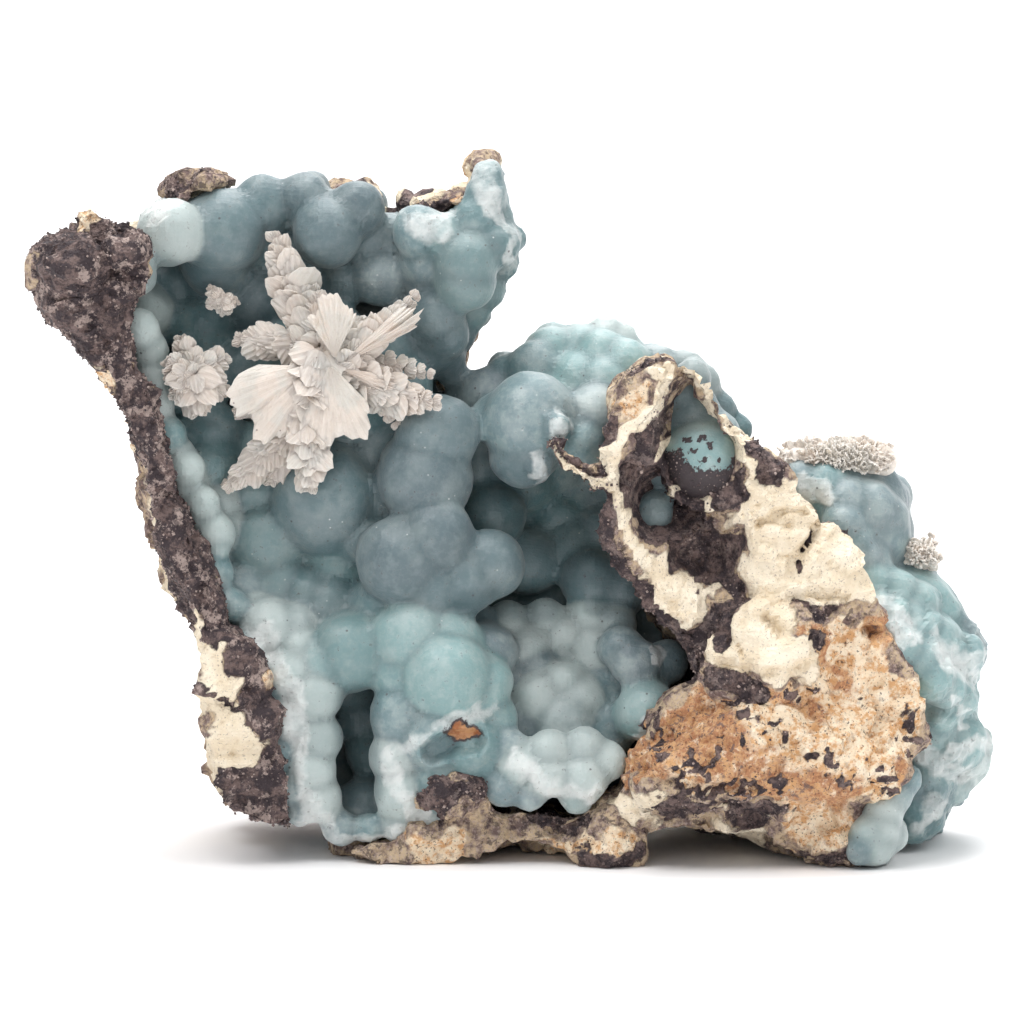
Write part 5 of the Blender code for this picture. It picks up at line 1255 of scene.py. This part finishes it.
def globe_finish(name):
    """Waxy blue-green smithsonite, whiter where it is broken and greyer where it grew slowly, with painted
    shade and painted glints.
    """
    look = Finish(name)
    tone = look.value("tone")
    cloud, frost, veil = look.noise(4.5, 3, 1), look.noise(0.42, 3, 2, 0.65), look.noise(1.6, 4, 4)
    bloom = look.noise(0.17, 2, 9)
    ragged = (veil - 0.5) * 2.4
    white = look.ramp(look.value("white") + ragged * 0.5, 0.50, 1.20)
    glint = look.ramp(look.spots(1.15, 3.0), 0.10, 0.05) * look.ramp(cloud, 0.50, 0.62)
    rusty = look.value("rusty") + (frost - 0.5) * 1.2
    stain = look.ramp(look.value("stain") + (frost - 0.5) * 1.9, 0.42, 0.58)
    colour = look.coats(
        TEAL,
        (look.ramp(tone + (cloud - 0.5) * 1.2, 0.1, 0.9) * 0.8, GREY_BLUE),
        (look.ramp(look.value("grey"), 0.1, 0.9) * 0.7, look.mix(tone, GREY_BLUE, DEEP_GREY)),
        (look.ramp(look.value("aqua"), 0.1, 0.9) * 0.6, AQUA),
        (look.ramp(look.value("pale") + ragged * 0.2, 0.2, 0.9) * 0.75, PALE_GREEN),
        (look.ramp(veil, 0.46, 0.64) * 0.24, PALE_GREEN),
        (look.ramp(cloud, 0.48, 0.62) * 0.20, PALE_GREEN),
        (look.ramp(frost, 0.46, 0.64) * 0.09, ICE),
        # Painted shade: globes that are not among the unshaded ones are darker, as the hollow lies in shade.
        ((1 - look.value("unshaded")) * 0.40, SHADED_TEAL),
        # Painted shade in the creases between globes.
        (look.value("crease") * 0.30, SHADED_TEAL),
        # Painted shade along the shade strokes.
        (look.ramp(look.value("shade"), 0.1, 1.0) * 0.50, SHADED_TEAL),
        (white * 0.72, ICE),
        (glint * 0.55, ICE),
        (look.ramp(look.spots(2.6, 8.0), 0.060, 0.035) * 0.7, SOOT),
        (look.ramp(rusty, 0.10, 0.40), SOOT),
        (look.ramp(rusty, 0.50, 0.80), look.mix(look.ramp(veil, 0.46, 0.60) * 0.7, RUST, OCHRE)),
        (stain, SOOT),
    )
    relief = frost * 0.30 + bloom * 0.16 + white * look.noise(0.7, 3, 5) * 1.1 + stain * 0.6
    look.set(
        Base_Color=colour, Roughness=0.30 + frost * 0.18 + white * 0.14 + stain * 0.3, Specular_IOR_Level=0.5,
        Subsurface_Weight=0.40, Subsurface_Radius=(0.8, 1.0, 1.0), Subsurface_Scale=1.8 * MM,
        Sheen_Weight=0.12, Sheen_Roughness=0.5, Normal=look.bump(relief, 0.16, 0.9),
    )
    return look.material


def crystal_finish(name, tint):
    """Pearly scales with fine lines along them, with painted shade at their roots and painted light on their
    ragged rims.
    """
    look = Finish(name)
    along, across, plate = look.value("along"), look.value("across"), look.value("plate")
    drawn_out = look.add("ShaderNodeCombineXYZ", {}, {"X": across * 6, "Y": along * 1.2, "Z": plate * 90})
    lines = look.add(
        "ShaderNodeTexNoise", {"noise_dimensions": "3D"},
        {"Vector": drawn_out, "Scale": 1.0, "Detail": 3.0, "Roughness": 0.6},
    )
    grain = look.noise(0.35, 4, 1, 0.65)
    colour = look.coats(
        tint,
        (look.ramp(plate, 0.1, 0.9) * 0.45, PEARL),
        (look.ramp(lines, 0.42, 0.60) * 0.35, PEARL),
        (look.ramp(look.noise(3.2, 3, 6), 0.46, 0.60) * 0.30, PALE_GREEN),
        # Painted shade towards the roots of the scales.
        (look.ramp(along, 0.50, 0.0) * 0.40, WARM),
        # Painted light on the rims of the scales.
        (look.ramp(along, 0.74, 1.0) * 0.35, PEARL),
        (look.ramp(grain, 0.52, 0.66) * 0.20, WARM),
        (look.ramp(look.spots(1.9, 5.0), 0.07, 0.04) * 0.7, UMBER),
    )
    look.set(
        Base_Color=colour, Roughness=0.36 + grain * 0.22,
        Subsurface_Weight=0.4, Subsurface_Radius=(1.0, 0.9, 0.8), Subsurface_Scale=0.8 * MM,
        Normal=look.bump(lines * 0.6 + grain * 0.4, 0.12, 0.9),
    )
    return look.material


def grain_finish(name):
    """Dark grains with dusty ones among them."""
    look = Finish(name)
    mottle = look.noise(0.6, 2, 1)
    grain = look.value("grain")
    dusty = look.ramp(look.noise(2.6, 5, 5, 0.6), 0.51, 0.60)
    colour = look.mix(look.ramp(mottle + grain * 0.5, 0.50, 1.00), SOOT, UMBER)
    colour = look.mix(dusty * look.ramp(grain, 0.30, 0.50) * 0.8, colour, DUST)
    look.set(Base_Color=colour, Roughness=0.42 + mottle * 0.3, Normal=look.bump(mottle, 0.05, 0.5))
    return look.material


def floor_finish():
    look = Finish("pale_floor")
    colour = look.mix(look.noise(60, 2, 1), FLOOR_GREY, FLOOR_WHITE)
    look.set(Base_Color=colour, Roughness=0.6, Specular_IOR_Level=0.2)
    return look.material


def dress(piece, material, nodes):
    """Gives a piece its finish and its place in the frame, and hides the model's nodes that it stands for."""
    piece.data.materials.clear()
    piece.data.materials.append(material)
    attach(piece, "root")
    if nodes:
        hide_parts(*nodes)


# The floor, in metres: half its width, its front, where it bends up, the bend's radius, and its height.
FLOOR_HALF_WIDTH, FLOOR_FRONT, FLOOR_BACK, FLOOR_BEND, FLOOR_HEIGHT = 1.6, -1.5, 0.7, 0.5, 1.6
BEND_STEPS, FLOOR_GAP = 16, 0.00005
# The lights: name, place, what they face, width and power. The last one lights the sheet behind.
STONE_MIDDLE, SHEET_MIDDLE = (0, 0, 0.035), (0, 1.2, 0.25)
LIGHTS = [
    ("high_left", (-0.30, -0.34, 0.90), STONE_MIDDLE, 0.60, 5.2),
    ("high_right", (0.50, -0.30, 0.70), STONE_MIDDLE, 0.55, 2.2),
    ("front", (-0.1, -0.95, 0.40), STONE_MIDDLE, 0.60, 1.1),
    ("behind", (0.1, 0.55, 0.70), STONE_MIDDLE, 0.50, 2.0),
    ("backdrop", (0.0, 0.25, 1.10), SHEET_MIDDLE, 0.80, 13.0),
]
AIR_COLOUR, AIR_STRENGTH = (0.97, 0.985, 1.0, 1), 0.42
SENSOR_WIDTH = 36


def make_floor():
    """A pale sheet that lies under the stone and curves up behind it."""
    profile = [(FLOOR_FRONT, 0.0), (FLOOR_BACK, 0.0)]
    for step in range(1, BEND_STEPS + 1):
        angle = math.pi / 2 * step / BEND_STEPS
        profile.append((FLOOR_BACK + FLOOR_BEND * math.sin(angle), FLOOR_BEND * (1 - math.cos(angle))))
    profile.append((FLOOR_BACK + FLOOR_BEND, FLOOR_HEIGHT))
    points = [(side * FLOOR_HALF_WIDTH, y, z - FLOOR_GAP) for y, z in profile for side in (-1, 1)]
    faces = [(2 * i, 2 * i + 1, 2 * i + 3, 2 * i + 2) for i in range(len(profile) - 1)]
    mesh = bpy.data.meshes.new("pale_floor")
    mesh.from_pydata(points, [], faces)
    mesh.shade_smooth()
    floor = bpy.data.objects.new("pale_floor", mesh)
    bpy.context.scene.collection.objects.link(floor)
    mesh.materials.append(floor_finish())


def add_light(name, place, aim, size, power):
    data = bpy.data.lights.new(name, "AREA")
    data.shape = "DISK"
    data.size = size
    data.energy = power
    light = bpy.data.objects.new(name, data)
    light.location = place
    light.rotation_euler = (Vector(aim) - Vector(place)).to_track_quat("-Z", "Y").to_euler()
    bpy.context.scene.collection.objects.link(light)


def make_studio():
    make_floor()
    for light in LIGHTS:
        add_light(*light)
    world = bpy.data.worlds.new("studio")
    world.use_nodes = True
    air = world.node_tree.nodes["Background"]
    air.inputs["Color"].default_value = AIR_COLOUR
    air.inputs["Strength"].default_value = AIR_STRENGTH
    bpy.context.scene.world = world
    bpy.context.scene.view_settings.view_transform = "Standard"


def make_camera():
    eye = placed(0, 0, -EYE_DISTANCE)
    aim = placed(VIEW_MIDDLE_X, EYE_HEIGHT, 0)
    data = bpy.data.cameras.new("front_view")
    data.sensor_width = SENSOR_WIDTH
    data.lens = data.sensor_width * float(np.linalg.norm(aim - eye)) / VIEW_WIDTH
    camera = bpy.data.objects.new("front_view", data)
    camera.location = Vector(eye) * MM
    camera.rotation_euler = Vector(aim - eye).to_track_quat("-Z", "Y").to_euler()
    bpy.context.scene.collection.objects.link(camera)
    bpy.context.scene.camera = camera


# Each crust: its name, its groups of globes with their root and seed, its beds, softening, folds and node.
CRUSTS = [
    (
        "vug_globes",
        [(VUG_GLOBES, VUG_ROOT, 1), (RIM_GLOBES, VUG_ROOT, 2), (HUMP_GLOBES, HUMP_ROOT, 3)],
        [(CRUST_BED, BED_FRONT, BED_BACK)], CREASE_SOFTENING, 0.0, "vug_crust",
    ),
    ("pocket_globes", [(POCKET_GLOBES, POCKET_ROOT, 4)], [], CREASE_SOFTENING, 0.0, "pocket_crust"),
    ("right_globes", [(RIGHT_GLOBES, RIGHT_ROOT, 5)], [], FOLD_SOFTENING, FOLD_SHARE, "right_crust"),
    ("foot_globes", [(FOOT_GLOBES, FOOT_ROOT, 6)], [], CREASE_SOFTENING, 0.0, "foot_crust"),
]
# Each group of crystals: its name, arms, seed, shells, mounds, how far forward it stands, tint and node.
CRYSTALS = [
    ("spray_plates", SPRAY_ARMS, 11, SPRAY_SHELLS, [], 0.0, "pale_crystal", "crystal_spray"),
    ("rosette_plates", ROSETTE_ARMS, 12, [], [], 1.8, "pale_crystal", "crystal_rosette"),
    ("button_plates", BUTTON_ARMS, 13, [], [], 0.6, "pale_crystal", "crystal_button"),
    ("druse_plates", DRUSE_ARMS, 14, [], DRUSE_MOUNDS, 0.0, "beige_crystal", "crystal_druse"),
    ("tuft_plates", TUFT_ARMS, 15, [], TUFT_MOUNDS, 0.0, "beige_crystal", "crystal_tuft"),
]
TINTS = {"pale_crystal": BLUSH, "beige_crystal": BEIGE}
# Each scatter of grains: its name, what it lies on, the field that it follows, the most, sizes and seed.
GRAINS = [
    ("dark_grains", "rock", "dark", 15000, (0.07, 0.23), 21),
    ("globe_grains", "pocket_globes", "stain", 2500, (0.06, 0.17), 22),
]

make_camera()
make_studio()
grounds = {"rock": make_rock()}
dress(grounds["rock"], rock_finish(), ["matrix"])
globes_look = globe_finish("smithsonite")
for name, groups, beds, smoothing, folded, node in CRUSTS:
    grounds[name] = make_crust(name, groups, beds, smoothing, folded)
    dress(grounds[name], globes_look, [node])
crystal_looks = {name: crystal_finish(name, tint) for name, tint in TINTS.items()}
for name, arms, seed, shells, mounds, forward, tint, node in CRYSTALS:
    dress(make_crystals(name, arms, seed, shells, mounds, forward), crystal_looks[tint], [node])
grain_look = grain_finish("dark_grain")
for name, ground, field, most, sizes, seed in GRAINS:
    dress(make_grains(name, grounds[ground], field, most, sizes, seed), grain_look, [])
